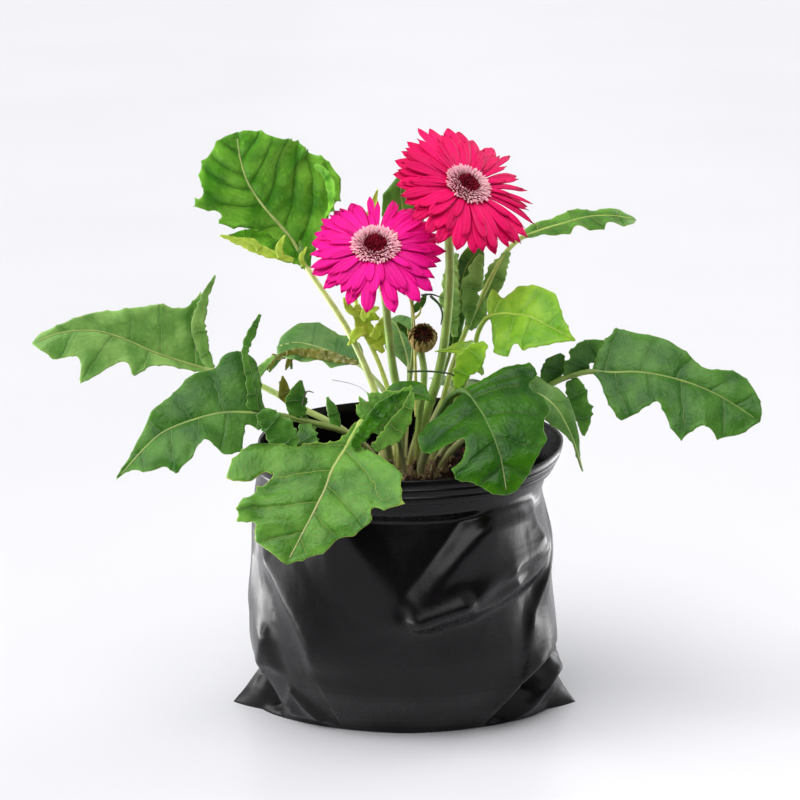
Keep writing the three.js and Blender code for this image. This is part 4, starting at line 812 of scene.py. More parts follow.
def add_blade(build, shape, seed, thick, step):
    """The blade of a leaf: its upper and under sheets, joined round the margin."""
    spec, length = shape.spec, shape.spine.length
    left, right = (ring_of(shape.sides[side][:, 1:3], step, spec["teeth"], seed + k)
                   for k, side in enumerate(("left", "right")))
    ring = np.vstack([right, left[::-1] * [1, -1]])
    points, faces, away = flat_mesh(ring, step, length)
    x, y = points[:, 0], points[:, 1]
    out = np.abs(y)
    s = shape.foot(x, out)
    widths = (np.interp(s, shape.sides[side][:, 0], shape.sides[side][:, 2]) for side in ("left", "right"))
    width = np.where(y < 0, *widths)
    v = np.clip(out / np.maximum(width, 1), 0, 1)
    vein = s - spec["sweep"] * out * (0.4 + 0.6 * v)
    ribs, gaps = [], []
    for side in ("left", "right"):
        feet = vein_feet(shape, side)
        ribs.append(np.interp(vein, feet, np.arange(len(feet))) + np.minimum(vein, 0) / 15)
        gaps.append(np.interp(vein, feet[1:], np.diff(feet)))
    gap = np.where(y < 0, *gaps)
    flat = np.column_stack([points, np.full(len(points), seed * 40.0)])
    ribs = [rib + 0.34 * waves(flat, 42, seed + 9) * v for rib in ribs]
    rib = np.where(y < 0, *ribs)
    dome = np.abs(np.sin(np.pi * rib)) * smooth(0, 5, out) * smooth(0, 8, away)
    dome *= np.clip(gap / 12, 0.4, 1.3)
    dome *= np.clip(0.7 + 1.2 * waves(flat, 34, seed + 7), 0.1, 1.4)
    proud = spec["quilt"] * (dome - 0.35) * smooth(0, 6, x)
    proud += 0.6 * spec["quilt"] * waves(flat, 8, seed) * smooth(0, 5, away)
    proud += 3.2 * waves(flat, 30, seed + 3) * v + 2.2 * waves(flat, 12, seed + 5) * v**2
    proud -= 0.8 * np.exp(-out / 1.6) * smooth(2, 12, x)
    middle, normal = shape.place(x, y, proud)
    half = thick / 2 * (0.35 + 0.65 * smooth(0, 0.8, away))
    n = len(points)
    upper = [f[::-1] for f in faces] if upside_down(faces, middle, normal) else faces
    under = [tuple(i + n for i in f[::-1]) for f in upper]
    wall = [(b, a, a + n, b + n) for a, b in boundary(upper)]
    both = {
        "flat_x": x, "flat_y": y, "rib_left": ribs[0], "rib_right": ribs[1], "gap": gap, "across": v,
        "rim": away, "share": s / length,
    }
    sheets = np.vstack([middle + normal * half[:, None], middle - normal * half[:, None]])
    values = {key: np.tile(row, 2) for key, row in both.items()}
    build.add(sheets, upper + under + wall, under=np.repeat([0.0, 1.0], n), **values)


def boundary(faces):
    """Edges with a face on one side only, in the order that face turns."""
    edges = {(f[i], f[(i + 1) % len(f)]) for f in faces for i in range(len(f))}
    return [e for e in edges if (e[1], e[0]) not in edges]


def upside_down(faces, points, normal):
    """Whether the faces look against the normals of their points."""
    a, b, c = (points[[f[k] for f in faces]] for k in range(3))
    turned = np.cross(b - a, c - a)
    return (turned * normal[[f[0] for f in faces]]).sum() < 0


def add_lobe(build, lobe, seed, thick, step):
    """A loose lobe on the stalk: a small blade with the same widths on both sides."""
    points, widths, face = lobe
    spine = Spine(points)
    count = max(8, int(spine.length / step))
    s = np.linspace(0, spine.length, count)
    places = np.linspace(0, spine.length, len(widths))
    outline = curve_points(np.column_stack([places, widths, np.zeros(len(places))]), 10)
    ahead = spine.along(s)
    look = unit(face)
    up = unit(look - ahead * (ahead @ look)[:, None])
    right = np.cross(ahead, up)
    base = spine.at(s)
    across = np.linspace(-1, 1, max(7, 2 * int(max(widths) / step) + 1))
    tops, unders = [], []
    values = {key: [] for key in ("flat_x", "flat_y", "rib_left", "across", "rim")}
    for v in across:
        ragged = np.abs(waves(np.column_stack([s, s * 0 + np.sign(v) * 9, s * 0]), 5, seed))
        half = np.interp(s, outline[:, 0], outline[:, 1]) * (1.15 - 0.75 * ragged)
        out = half * v
        lift = 0.35 * np.sin(s * 0.9 + 3 * v) * abs(v) - 0.15 * np.exp(-np.abs(out) / 1.2)
        lift = lift + 0.06 * half * v * v
        middle = base + right * out[:, None] + up * lift[:, None]
        h = thick / 2 * (0.4 + 0.6 * (1 - abs(v) ** 4))
        tops.append(middle + up * h)
        unders.append(middle - up * h)
        rows = (s + np.abs(out) * 0.2, out, s / 16 + 0.3, np.full(count, abs(v)), half * (1 - abs(v)))
        for key, row in zip(values, rows):
            values[key].append(row)
    values = {key: np.stack(row + row[::-1], axis=1).ravel() for key, row in values.items()}
    values["rib_right"] = values["rib_left"]
    under = np.tile(np.repeat([1.0, 0.0], len(across)), count)
    build.loft(np.stack(unders + tops[::-1], axis=1), gap=16.0, share=0.9, under=under, **values)


def add_tube(build, spine, start, end, radius, sides, step, slot=0, drop=None):
    """A round stalk along a spine; radius and drop (a shift, as vectors) are functions of the place on it."""
    s = np.linspace(start, end, max(4, int((end - start) / step)))
    ahead = spine.along(s)
    across = [unit(np.array([0.3, 1, 0.1]))]
    for a in ahead:
        across.append(unit(across[-1] - a * (across[-1] @ a)))
    across = np.array(across[1:])
    other = np.cross(ahead, across)
    centre = spine.at(s) + (drop(s) if drop else 0)
    turn = np.arange(sides) / sides * 2 * math.pi
    ring = across[:, None] * np.cos(turn)[:, None] + other[:, None] * np.sin(turn)[:, None]
    build.loft(centre[:, None] + radius(s)[:, None, None] * ring, slot, turn=np.tile(turn, len(s)))


def add_stalk(build, shape):
    """The petiole, which goes on as the midrib under the blade."""
    spine, thin, thick = shape.spine, shape.spec["stalk"] * 0.72, shape.spec["stalk"] * 1.02
    before, length = spine.before, spine.length

    def radius(s):
        below = mix(thick, thin, np.clip((s + before) / before, 0, 1))
        rib = mix(thin, 0.45, np.clip(s / length * 1.2, 0, 1) ** 0.7)
        return np.where(s < 0, below, rib)

    def drop(s):
        up = shape.axes(s)[1]
        return -up * ((radius(s) + 0.15) * smooth(-4, 9, s))[:, None]

    add_tube(build, spine, -before, length * 0.96, radius, 12, 2.5, slot=1, drop=drop)


def leaf_finish(look):
    """A blade: midrib, faint side veins, a net between them that dimples it, pale rim and underside, with
    painted shade in the creases along the side veins and painted light on the domes between them and near the
    margin.
    """
    c = look_of(look)
    m = Finish("blade_" + look)
    x, y, rim, under, across, gap, share = (
        m.attribute(n) for n in ("flat_x", "flat_y", "rim", "under", "across", "gap", "share"))
    flat = m.vector(x, y)
    right = y.math("GREATER_THAN", 0.0)
    rib = m.attribute("rib_left") * (1 - right) + m.attribute("rib_right") * right
    rib = rib + (m.noise(16.0, 2.0, flat) - 0.5) * across * 0.5 + (m.noise(5.0, 2.0, flat) - 0.5) * 0.05
    lean = ((rib + 0.5).fraction() - 0.5).abs() * gap
    reach = across.step(1.0, 0.75)
    side_vein = (1 - lean.step(0.1 - across * 0.06, 0.5 - across * 0.3)) * reach
    midrib = (1 - y.abs().step(0.05, 0.72 - share * 0.6)) * share.step(0.9, 0.4)
    arms = (y.abs() + lean * 1.4 + m.noise(10.0, 2.0, flat) * 6.0) / 8.0
    branch = (1 - ((arms + 0.5).fraction() - 0.5).abs().step(0.006, 0.03)) * reach
    blister = m.edges(4.6, m.vector(x + m.noise(6.0, 2.0, flat) * 3.0, y)).step(0.0, 0.42)
    net = 1 - blister.step(0.0, 0.12)
    fine = m.edges(1.5, flat).step(0.0, 0.3)
    patch = m.noise(24.0, 4.0, flat).step(0.3, 0.7)
    grain = m.noise(1.2, 3.0, flat)
    # Painted light: tone is painted lighter on the domes away from the side veins and in the middles of the
    # net's cells, as if lit, and within 5 mm of the margin, as light shining through the blade.
    edge = lean.step(0.0, 5.0) * 0.2 + rim.step(5.0, 0.0) * 0.2
    tone = patch * 0.5 + (grain - 0.5) * 0.24 + blister * 0.14 - 0.04 + edge
    green = m.blend(tone.step(0.0, 1.0), c["deep"], c["light"])
    # Painted shade: crease darkens the blade in the creases along the side veins.
    crease = (1 - lean.step(0.1, 0.9)) * c["crease"] * rim.step(1.0, 6.0) * patch.step(0.0, 0.5)
    green = m.blend(crease, green, tint(c["deep"], 0.35))
    lines = (side_vein * (1 - c["crease"])).most(branch * 0.5).most(net * 0.16) * c["show"]
    green = m.blend(lines.most(midrib * c["midrib"]), green, c["vein"])
    green = m.blend(rim.step(0.5, 0.1) * 0.5, green, c["vein"])
    pale = m.blend((side_vein * 0.5).most(net * 0.3), c["under"], tint(c["under"], 1.35))
    height = (grain - 0.5) * 0.12 + blister * 0.34 + fine * 0.05 - branch * 0.3
    height = height - side_vein * (1 - under * 1.7) * 0.35 + lean.step(0.0, 2.6) * 0.55 * (1 - under)
    roughness = 0.34 + (grain - 0.5) * 0.16 + under * 0.2 + lines * 0.08
    return m.set(m.blend(under, green, pale), roughness, m.bump(height, 0.0009, c["quilted"]), 0.2)


def stalk_finish(name, colour, base, downy=0.5):
    """Stalks: fine ridges along them, a blush towards the crown, and a bloom of short down."""
    m = Finish(name)
    ridge = ((m.attribute("turn") * 5).sin() * 0.5 + 0.5) * 0.4 + m.noise(0.0016, 3.0) * 0.6
    green = m.blend(m.noise(0.012, 4.0).step(0.35, 0.7), tint(colour, 0.84), tint(colour, 1.24))
    green = m.blend(ridge.step(0.45, 0.8) * 0.25, green, tint(colour, 1.5))
    height = m.parts(m.place)[2]
    green = m.blend(height.step(0.215, 0.165) * 0.75, green, base)
    speck = m.noise(0.0005, 1.0).step(0.55, 0.75) * downy
    green = m.blend(speck * 0.35, green, tint(colour, 1.9, 0.05))
    return m.set(green, 0.52 + speck * 0.2, m.bump(ridge * 0.6 + speck * 0.4, 0.0004, 0.7))


# ---- things grown with geometry nodes: the straps of the heads ----


class Graph(Tree):
    """A geometry node tree with named inputs, run on a mesh to make a plain mesh."""

    KINDS = {float: "NodeSocketFloat", int: "NodeSocketInt", bpy.types.Material: "NodeSocketMaterial"}

    def __init__(self, name, **kinds):
        super().__init__(bpy.data.node_groups.new(name, "GeometryNodeTree"))
        face = self.nodes.interface
        face.new_socket("Geometry", in_out="INPUT", socket_type="NodeSocketGeometry")
        for key, kind in kinds.items():
            face.new_socket(key, in_out="INPUT", socket_type=self.KINDS[kind])
        face.new_socket("Geometry", in_out="OUTPUT", socket_type="NodeSocketGeometry")
        start = self.nodes.nodes.new("NodeGroupInput")
        self.given = {socket.name: Value(self, socket) for socket in start.outputs if socket.name}
        self.end = self.nodes.nodes.new("NodeGroupOutput")

    def __getitem__(self, name):
        return self.given[name]

    def attribute(self, name):
        return self.node("GeometryNodeInputNamedAttribute", {"data_type": "FLOAT_VECTOR"}, name)

    def store(self, geometry, name, value, kind):
        """The geometry with a named value on every point."""
        settings = {"data_type": kind, "domain": "POINT"}
        return self.node("GeometryNodeStoreNamedAttribute", settings, geometry, True, name, value)

    def chance(self, low, high, more=0):
        """A random number for each point, or a vector where low and high are vectors."""
        kind = "FunctionNodeRandomValue"
        seed = self["Seed"] + more if more else self["Seed"]
        if isinstance(low, tuple):
            return self.node(kind, {"data_type": "FLOAT_VECTOR"}, low, high, Seed=seed)
        return self.node(kind, {"data_type": "FLOAT"}, Min=low, Max=high, Seed=seed, out=1)

    def spread(self):
        """Points over the given mesh, and their normals."""
        kind = "GeometryNodeDistributePointsOnFaces"
        named = {"Density": self["Density"], "Seed": self["Seed"], "out": (0, 1)}
        return self.node(kind, {}, self["Geometry"], **named)

    def upright(self, way):
        """The turn that stands a thing along that way."""
        return self.node("FunctionNodeAlignRotationToVector", {"axis": "Z"}, Vector=way)

    def instances(self, points, thing, **named):
        """The thing set on every point."""
        return self.node("GeometryNodeInstanceOnPoints", {}, points, Instance=thing, **named)

    def real(self, geometry):
        return self.node("GeometryNodeRealizeInstances", {}, geometry)

    def finish(self, geometry):
        """Ends the tree: instances made real, then the material given."""
        done = self.node("GeometryNodeSetMaterial", {}, self.real(geometry), True, self["Material"])
        self.feed(self.end.inputs[0], done)

    def grow(self, mesh, name, solidify=0.0, **inputs):
        """The plain mesh that the tree makes from a mesh, given a thickness where one is asked for."""
        seed = linked(name + "_seed", mesh)
        modifier = seed.modifiers.new("Grow", "NODES")
        modifier.node_group = self.nodes
        for item in self.nodes.interface.items_tree:
            if item.name in inputs:
                modifier[item.identifier] = inputs[item.name]
        if solidify:
            wall = seed.modifiers.new("Wall", "SOLIDIFY")
            wall.thickness = solidify
            wall.offset = 0
        depsgraph = bpy.context.evaluated_depsgraph_get()
        made = bpy.data.meshes.new_from_object(seed.evaluated_get(depsgraph))
        made.name = name
        bpy.data.objects.remove(seed)
        bpy.data.meshes.remove(mesh)
        made.materials.clear()
        made.materials.append(inputs["Material"])
        made.polygons.foreach_set("material_index", [0] * len(made.polygons))
        made.polygons.foreach_set("use_smooth", [True] * len(made.polygons))
        return made


def strap_graph():
    """Bends a strip over every point of a mesh: near, bend and far hold the radius and height of the strip's
    middle line at its root, halfway control and tip, then its direction, twist and half-width; look holds its
    sway, cup and shade."""
    g = Graph("straps", Long=int, Wide=int, Belly=float, Base=float, Blunt=float, Ridge=float, Notch=float,
              Material=bpy.types.Material)
    strip = g.node("GeometryNodeMeshGrid", {}, 1.0, 1.0, g["Long"], g["Wide"])
    real = g.real(g.instances(g["Geometry"], strip))
    across, along, _ = g.parts(g.node("GeometryNodeInputPosition"))
    q = across + 0.5
    t = q * (1.5 - q * 0.5)
    w = along * 2
    r0, z0, angle = g.parts(g.attribute("near"))
    r1, z1, twist = g.parts(g.attribute("bend"))
    r2, z2, width = g.parts(g.attribute("far"))
    sway, cup, shade = g.parts(g.attribute("look"))
    u = 1 - t
    belly, base = g["Belly"], g["Base"]
    fall = ((t - belly) / (1 - belly)).most(0.0)
    share = (base + (1 - base) * t.step(0.0, belly)) * (1 - fall ** g["Blunt"] * 0.97) ** 0.5
    side = w * width * share
    radius = u * u * r0 + u * t * r1 * 2 + t * t * r2
    radius = radius + (w * math.pi * 3).cos() * fall**4 * g["Notch"]
    height = u * u * z0 + u * t * z1 * 2 + t * t * z2
    height = height + cup * (w * w - 0.35) * share + (w * math.pi * 3).cos() * g["Ridge"] * share
    height = height + side * twist * t
    side = side + sway * t * t
    c, s = angle.cos(), angle.sin()
    place = g.vector(radius * c - side * s, radius * s + side * c, height)
    marked = g.store(real, "strap", g.vector(t, w, shade), "FLOAT_VECTOR")
    g.finish(g.node("GeometryNodeSetPosition", {}, marked, Position=place))
    return g


# The strips of the heads: how many points they have along and across, then Belly, where they are widest,
# Base, how wide they start, Blunt, how blunt their ends are, Ridge, the depth of their ribs, and Notch, the
# depth of the notches at their ends.
STRIP_PARTS = ("Long", "Wide", "Belly", "Base", "Blunt", "Ridge", "Notch")
STRIPS = {
    "petal": (18, 7, 0.74, 0.42, 2.8, 0.16, 1.1),
    "lip": (6, 3, 0.6, 0.5, 2.4, 0.05, 0.0),
    "bract": (8, 4, 0.35, 0.8, 1.4, 0.04, 0.0),
    "closing": (9, 4, 0.4, 0.75, 1.5, 0.05, 0.0),
}


def straps(graph, rows, kind, material, head, thick):
    """A whorl of straps from rows of [degrees, root, control, tip, half-width, twist, sway, cup, shade]."""
    mesh = bpy.data.meshes.new(kind)
    mesh.from_pydata([(MM * i, 0, 0) for i in range(len(rows))], [], [])
    table = {"near": [], "bend": [], "far": [], "look": []}
    for degrees, near, bend, far, width, twist, sway, cup, shade in rows:
        table["near"] += [*near, math.radians(degrees)]
        table["bend"] += [*bend, twist]
        table["far"] += [*far, width]
        table["look"] += [sway, cup, shade]
    for key, values in table.items():
        mesh.attributes.new(key, "FLOAT_VECTOR", "POINT").data.foreach_set("vector", values)
    strip = dict(zip(STRIP_PARTS, STRIPS[kind]))
    made = graph.grow(mesh, kind, thick, Material=material, **strip)
    for key in table:
        made.attributes.remove(made.attributes[key])
    made.transform(head_place(head))
    return made


# ---- flower heads ----

# A head is described from its own middle, with heights along its axis. tips holds the direction and reach of
# its outer petals, and thin the range of directions where they are narrow.
HEADS = {
    "low": {
        "centre": [-20, -30, 325], "axis": [0, -0.634, 0.773], "root": [-4, -5], "stalk": [2.9, 2.6],
        "scape": [[-4, -11, 210], [-9, -17, 242], [-12, -21, 270], [-15, -19, 293]],
        "seed": 11, "thin": [70, 100],
        "tips": [[16, 41.8], [36, 42.5], [59, 44.2], [76, 45.3], [95, 48.5], [110, 44.9], [126, 43.7],
                 [147, 42.3], [170, 41.6], [202, 43.2], [220, 43.2], [249, 44.5], [263, 48.6], [283, 49.2],
                 [305, 48], [321, 46.9], [351, 42]],
    },
    "high": {
        "centre": [40.5, -14, 362], "axis": [0.4, -0.55, 0.733], "root": [3, 4], "stalk": [3.2, 2.9],
        "scape": [[12, 3, 200], [22, 2, 232], [27, 1, 265], [29, 0, 300], [28, -2, 328]],
        "seed": 29, "thin": [335, 60],
        "tips": [[8, 46.8], [23, 47.8], [38, 50], [52, 59], [66, 54.7], [80, 50.8], [90, 54], [100, 55.8],
                 [108, 47.7], [116, 53.6], [126, 54.9], [141, 48.9], [155, 47], [168, 47.8], [180, 47.5],
                 [194, 47.3], [212, 46.9], [224, 49.7], [238, 50.3], [250, 52.5], [266, 51.3], [280, 49.8],
                 [297, 49.5], [312, 47], [324, 46.4], [338, 45], [352, 48.6]],
    },
}
ENDS = [-33, -24, -15]  # a scape comes up the axis of its head through these heights
BUD = {
    "centre": [11, -27, 262], "axis": [0.05, -0.75, 0.66], "root": [7, -6], "stalk": [2.4, 2.2], "seed": 5,
    "scape": [[9, -13, 205], [12, -20, 236]],
}
BUD_ENDS = [h * 8.6 for h in (-2.2, -1.4, -0.6)]  # the same for the closing head, 8.6 in radius
# Inner whorls of petals: their number, their reach beside that of the tips, the heights of root and tip, and
# their half-width.
PETALS = ((23, 0.96, -4.4, -6.4, 4.7), (20, 0.86, -3.6, -4, 4.2), (11, 0.68, -3, -1.8, 2.6))
THIN = 2.2  # half-width of the narrow petals
# Other whorls, from the outside in or from the foot up: the number of strips, the [radius, height] of their
# root, control and tip, and their half-width.
WHORLS = {
    "ring": (
        (64, (12.2, -2.4), (13.9, 0.9), (16.5, 0.4), 0.6), (60, (11.2, -2.2), (12.7, 1.4), (15.2, 1.5), 0.58),
        (52, (10, -2), (11.2, 2), (13.6, 2.4), 0.56), (46, (9, -2), (9.8, 2.4), (11.9, 3), 0.53),
        (36, (8, -2), (8.2, 2.4), (10.2, 3.3), 0.48), (28, (7.4, -2), (7.2, 1.6), (8.4, 3), 0.42),
    ),
    "cup": (
        (18, (4.2, -20.8), (8.6, -20.6), (11.6, -14.5), 1.6),
        (20, (7, -19.6), (12.3, -17.4), (13.9, -10.6), 1.8),
        (22, (10, -17.4), (14, -14.2), (14.7, -7.4), 1.8), (22, (11.8, -14), (14.4, -11), (15, -5.4), 1.7),
    ),
    "closing": (
        (14, (2.6, -9), (9.4, -8.4), (9.2, 0.8), 1.9), (16, (5.4, -7.6), (11, -2), (8.6, 4.6), 1.8),
        (18, (7.4, -4), (10.4, 1.5), (7.6, 6), 1.3), (16, (7.4, -1), (9, 3), (6.6, 6.6), 0.8),
    ),
}
# What the strips stand on: the number of sides of a turned solid, and its profile of [height, radius].
CORES = {
    "petals": (36, [[-6.9, 9], [-6.4, 13], [-3, 13], [-2.2, 12], [-2, 4]]),
    "ring": (36, [[-4, 8], [-3.6, 14], [-1.6, 13.8], [-0.8, 12], [-0.6, 8], [-1, 7.4], [-4, 7.2]]),
    "eye": (28, [[-4, 4], [-3.8, 6.8], [-0.2, 6.9], [0.6, 5], [0.9, 1.5]]),
    "cup": (40, [[-21, 3.6], [-19, 8], [-14, 11.6], [-9, 13.4], [-7, 13.2]]),
    "closing": (32, [[-9, 2.4], [-6.9, 6], [-2, 8.4], [2.6, 8], [4, 7.2], [2.6, 6.4], [-1.4, 6]]),
}
LIP_THICK = 0.2  # thickness of a ring floret
BRACT_THICK = 0.4
# The domes of rounded florets: their number, the dome's radius, its height at the rim and its rise, then the
# florets' radius and how many times as tall they are.
DOMES = {"eye": (58, 7.2, 1.1, 0.9, 0.82, 1.9), "closing": (54, 6, 3.6, 0.8, 0.62, 2.4)}
GOLDEN = 2.39996  # the angle from one floret to the next, in radians


def strips_of(kind):
    """Every strip of those whorls: its number in its whorl, then what WHORLS says of it."""
    return [(i, *whorl) for whorl in WHORLS[kind] for i in range(whorl[0])]


def head_place(head):
    """The placing of a head as a matrix, from millimetres about its middle to metres."""
    z = unit(head["axis"])
    x = unit(np.array([1, 0, 0]) - z * z[0])
    columns = [x * MM, np.cross(z, x) * MM, z * MM, np.array(head["centre"]) * MM]
    return Matrix([[*(float(c[i]) for c in columns)] for i in range(3)] + [[0, 0, 0, 1]])


def core(head, kind, material):
    """The turned solid that the strips of a head stand on."""
    sides, profile = CORES[kind]
    a = np.arange(sides) / sides * 2 * math.pi
    line = curve_points(np.column_stack([np.array(profile, float), np.zeros(len(profile))]), 4)
    build = Build()
    build.loft([np.column_stack([r * np.cos(a), r * np.sin(a), np.full(sides, z)]) for z, r, _ in line])
    mesh = build.mesh(kind, [material])
    mesh.transform(Matrix.Scale(1 / MM, 4))
    mesh.transform(head_place(head))
    return mesh


def petal_rows(head):
    """The petals of an open head: the outer ones at its tips, then shorter whorls inside them."""
    dice = Dice(head["seed"])
    first, last = head["thin"]
    rows = []

    def slim(degrees):
        return (degrees - first) % 360 < (last - first) % 360

    for degrees, reach in head["tips"]:
        wide = dice.uniform(2.2, 2.8) if slim(degrees) else dice.uniform(4.7, 5.5)
        lift = dice.off(1)
        rows.append([degrees, (10, -5.4), (reach * 0.52, 0.2 + lift), (reach, -9.5 + lift), wide,
                     dice.off(0.22), dice.off(2), dice.uniform(-0.8, 0.7), dice.random()])
    mean = sum(r for _, r in head["tips"]) / len(head["tips"])
    for count, scale, rise, tip, wide in PETALS:
        start = dice.random()
        for i in range(count):
            degrees = (i + start + dice.off(0.3)) / count * 360
            half = THIN if slim(degrees) else wide
            reach = mean * scale * dice.uniform(0.9, 1.04)
            lift = dice.off(0.6)
            rows.append([degrees, (9.5, rise), (reach * 0.5, 1.6 + rise * 0.3 + lift), (reach, tip + lift),
                         half * dice.uniform(0.8, 1.1), dice.off(0.25), dice.off(2.4),
                         dice.uniform(-0.9, 0.7), dice.random()])
    return rows


def petal_finish(name, colour, tip, vein):
    """A petal: fine streaks along it, a painted sheen of paler streaks towards its middle, a deeper rim and
    tip.
    """
    m = Finish(name)
    t, w, shade = m.strap()
    where = m.vector(t * 1.2, w * 7, shade * 31)
    streak = m.noise(1.0, 4.0, where)
    fine = m.noise(0.28, 2.0, where)
    body = m.blend((streak * 0.7 + shade * 0.3).step(0.3, 0.75), tint(colour, 0.72), colour)
    body = m.blend(t.step(0.7, 1.0) * 0.35 + w.abs().step(0.75, 1.0) * 0.25, body, tip)
    # Painted sheen: paler streaks towards the middle of the petal, in the colour passed as vein, stand in for
    # light glinting on its satin surface.
    painted_sheen = fine.step(0.52, 0.8) * t.step(0.85, 0.2) * 0.6
    body = m.blend(painted_sheen, body, vein)
    ridge = (w * math.pi * 3).cos() * 0.4 + fine * 0.5
    return m.set(body, 0.46 + fine * 0.2, m.bump(ridge, 0.0004, 0.6), 0.15)


def floret_finish(name, base, tip, pale):
    """Small florets: dark at their roots, pale on their lips, no two quite alike."""
    m = Finish(name)
    t, w, shade = m.strap()
    body = m.blend(t.step(0.05, 0.6), base, tip)
    body = m.blend(shade.step(0.55, 1.0) * 0.6 + w.abs().step(0.5, 1.0) * 0.2, body, pale)
    speck = m.noise(0.0006, 2.0)
    body = m.blend(speck.step(0.6, 0.8) * 0.25, body, base)
    return m.set(body, 0.55 + speck * 0.2, m.bump(speck, 0.0003, 0.5), 0.3)


def stud_finish(name, base, tip):
    """Closed florets: dark, with a painted highlight in a lighter colour on the larger florets and on random
    specks.
    """
    m = Finish(name)
    speck = m.noise(0.0007, 3.0)
    # Painted highlight: the larger florets, by their shade, and random specks take the lighter tip colour.
    body = m.blend(speck.step(0.45, 0.7) * 0.6 + m.attribute("shade").step(0.9, 1.2) * 0.5, base, tip)
    return m.set(body, 0.55 + speck * 0.2, m.bump(speck, 0.0003, 0.6), 0.12)


def stud_graph():
    """Sets a rounded floret on every point, along that point's lean."""
    g = Graph("studs", Size=float, Tall=float, Seed=int, Material=bpy.types.Material)
    ball = g.node("GeometryNodeMeshIcoSphere", {}, 1.0, 2)
    chance = g.chance(0.75, 1.2)
    size = g["Size"] * chance
    points = g.store(g["Geometry"], "shade", chance, "FLOAT")
    scale = g.vector(size, size, size * g["Tall"])
    g.finish(g.instances(points, ball, Rotation=g.upright(g.attribute("lean")), Scale=scale))
    return g


def studs(kind, material, head):
    """Florets spread over a low dome, each leaning out from its middle."""
    count, radius, height, dome, size, tall = DOMES[kind]
    points, leans = [], []
    for i in range(count):
        r, a = radius * math.sqrt((i + 0.5) / count), i * GOLDEN
        x, y = r * math.cos(a), r * math.sin(a)
        points.append((x, y, height + dome * (1 - (r / radius) ** 2)))
        leans += [x * 0.06, y * 0.06, 1]
    mesh = bpy.data.meshes.new(kind)
    mesh.from_pydata(points, [], [])
    mesh.attributes.new("lean", "FLOAT_VECTOR", "POINT").data.foreach_set("vector", leans)
    made = stud_graph().grow(mesh, kind, Size=size, Tall=tall, Seed=head["seed"], Material=material)
    made.attributes.remove(made.attributes["lean"])
    made.transform(head_place(head))
    return made


def settle_joined(meshes, name, replaces=()):
    """Puts several meshes, each with its own material, in the scene as one piece."""
    whole = bmesh.new()
    slots = []
    for k, mesh in enumerate(meshes):
        before = len(whole.faces)
        whole.from_mesh(mesh)
        slots += [k] * (len(whole.faces) - before)
    for face, k in zip(whole.faces, slots):
        face.material_index = k
        face.smooth = True
    made = bpy.data.meshes.new(name)
    whole.to_mesh(made)
    whole.free()
    for mesh in meshes:
        made.materials.append(mesh.materials[0])
        bpy.data.meshes.remove(mesh)
    return settle(made, name, replaces)


def bristle_graph():
    """Short hairs that stand on a surface."""
    g = Graph("bristles", Density=float, Long=float, Thin=float, Seed=int, Material=bpy.types.Material)
    points, normal = g.spread()
    lean = g.chance((-0.5, -0.5, -0.2), (0.5, 0.5, 0.6))
    way = g.node("ShaderNodeVectorMath", {"operation": "ADD"}, normal, lean)
    settings = {"fill_type": "NONE"}
    hair = g.node("GeometryNodeMeshCone", settings, 3, 1, 1, 0.0, g["Thin"], g["Long"])
    size = g.chance(0.5, 1.2)
    g.finish(g.instances(points, hair, Rotation=g.upright(way), Scale=g.vector(size, size, size)))
    return g


def hair_finish(name, colour):
    """Pale hairs, no two quite alike."""
    m = Finish(name)
    tone = m.noise(0.004, 2.0)
    return m.set(m.blend(tone, tint(colour, 0.7), colour), 0.6 + tone * 0.1)


# ---- grow bag ----

BAG_LEVELS = [  # height, then the reach to the left, right, front and back, and how square the outline is
    [0, 104, 102, 62, 60, 1.7], [12, 100, 99, 72, 70, 1.95], [34, 101, 103, 88, 85, 2.1],
    [58, 105, 103, 97, 95, 2.1], [82, 105, 100, 100, 100, 2], [106, 103, 98, 101, 102, 2],
    [130, 102, 97, 101, 103, 2], [154, 101, 91, 101, 103, 2], [169, 100, 96, 102, 103, 2],
    [178, 99, 103, 103, 103, 2], [186, 99, 106, 104, 103, 2],
]
BAG_HEIGHT = 186
# The turned cuff: where it starts, how far each turn stands out and how tall a turn is.
CUFF = {"low": 170, "tiers": [1.8, 1.2, 0.7], "fall": 5.2}
# The ears: their directions, their reach, their half-width in degrees and where they end, then the hollow
# over each of them.
EARS = {"at": (180, 0), "reach": 15, "spread": 9, "top": 27}
DENT = {"deep": 2.2, "wide": 12, "height": 25, "tall": 6}
FACETS = 34  # flat places between the creases
ARC = 1.7  # millimetres of film to a degree round the bag
FOLDS_END = 163  # folds and panels fade out over FOLDS_FADE below this height
FOLDS_FADE = 8
MOUTH = 160  # from this height on, over MOUTH_FADE, the film leans and rises towards its uneven mouth
MOUTH_FADE = 26
CALM = 0.25  # how lively the creases are in the turned cuff
BAG_STEP = 0.9  # degrees from one point of a ring of the film to the next
MIX_STEP = 2  # and of a ring of the potting mix
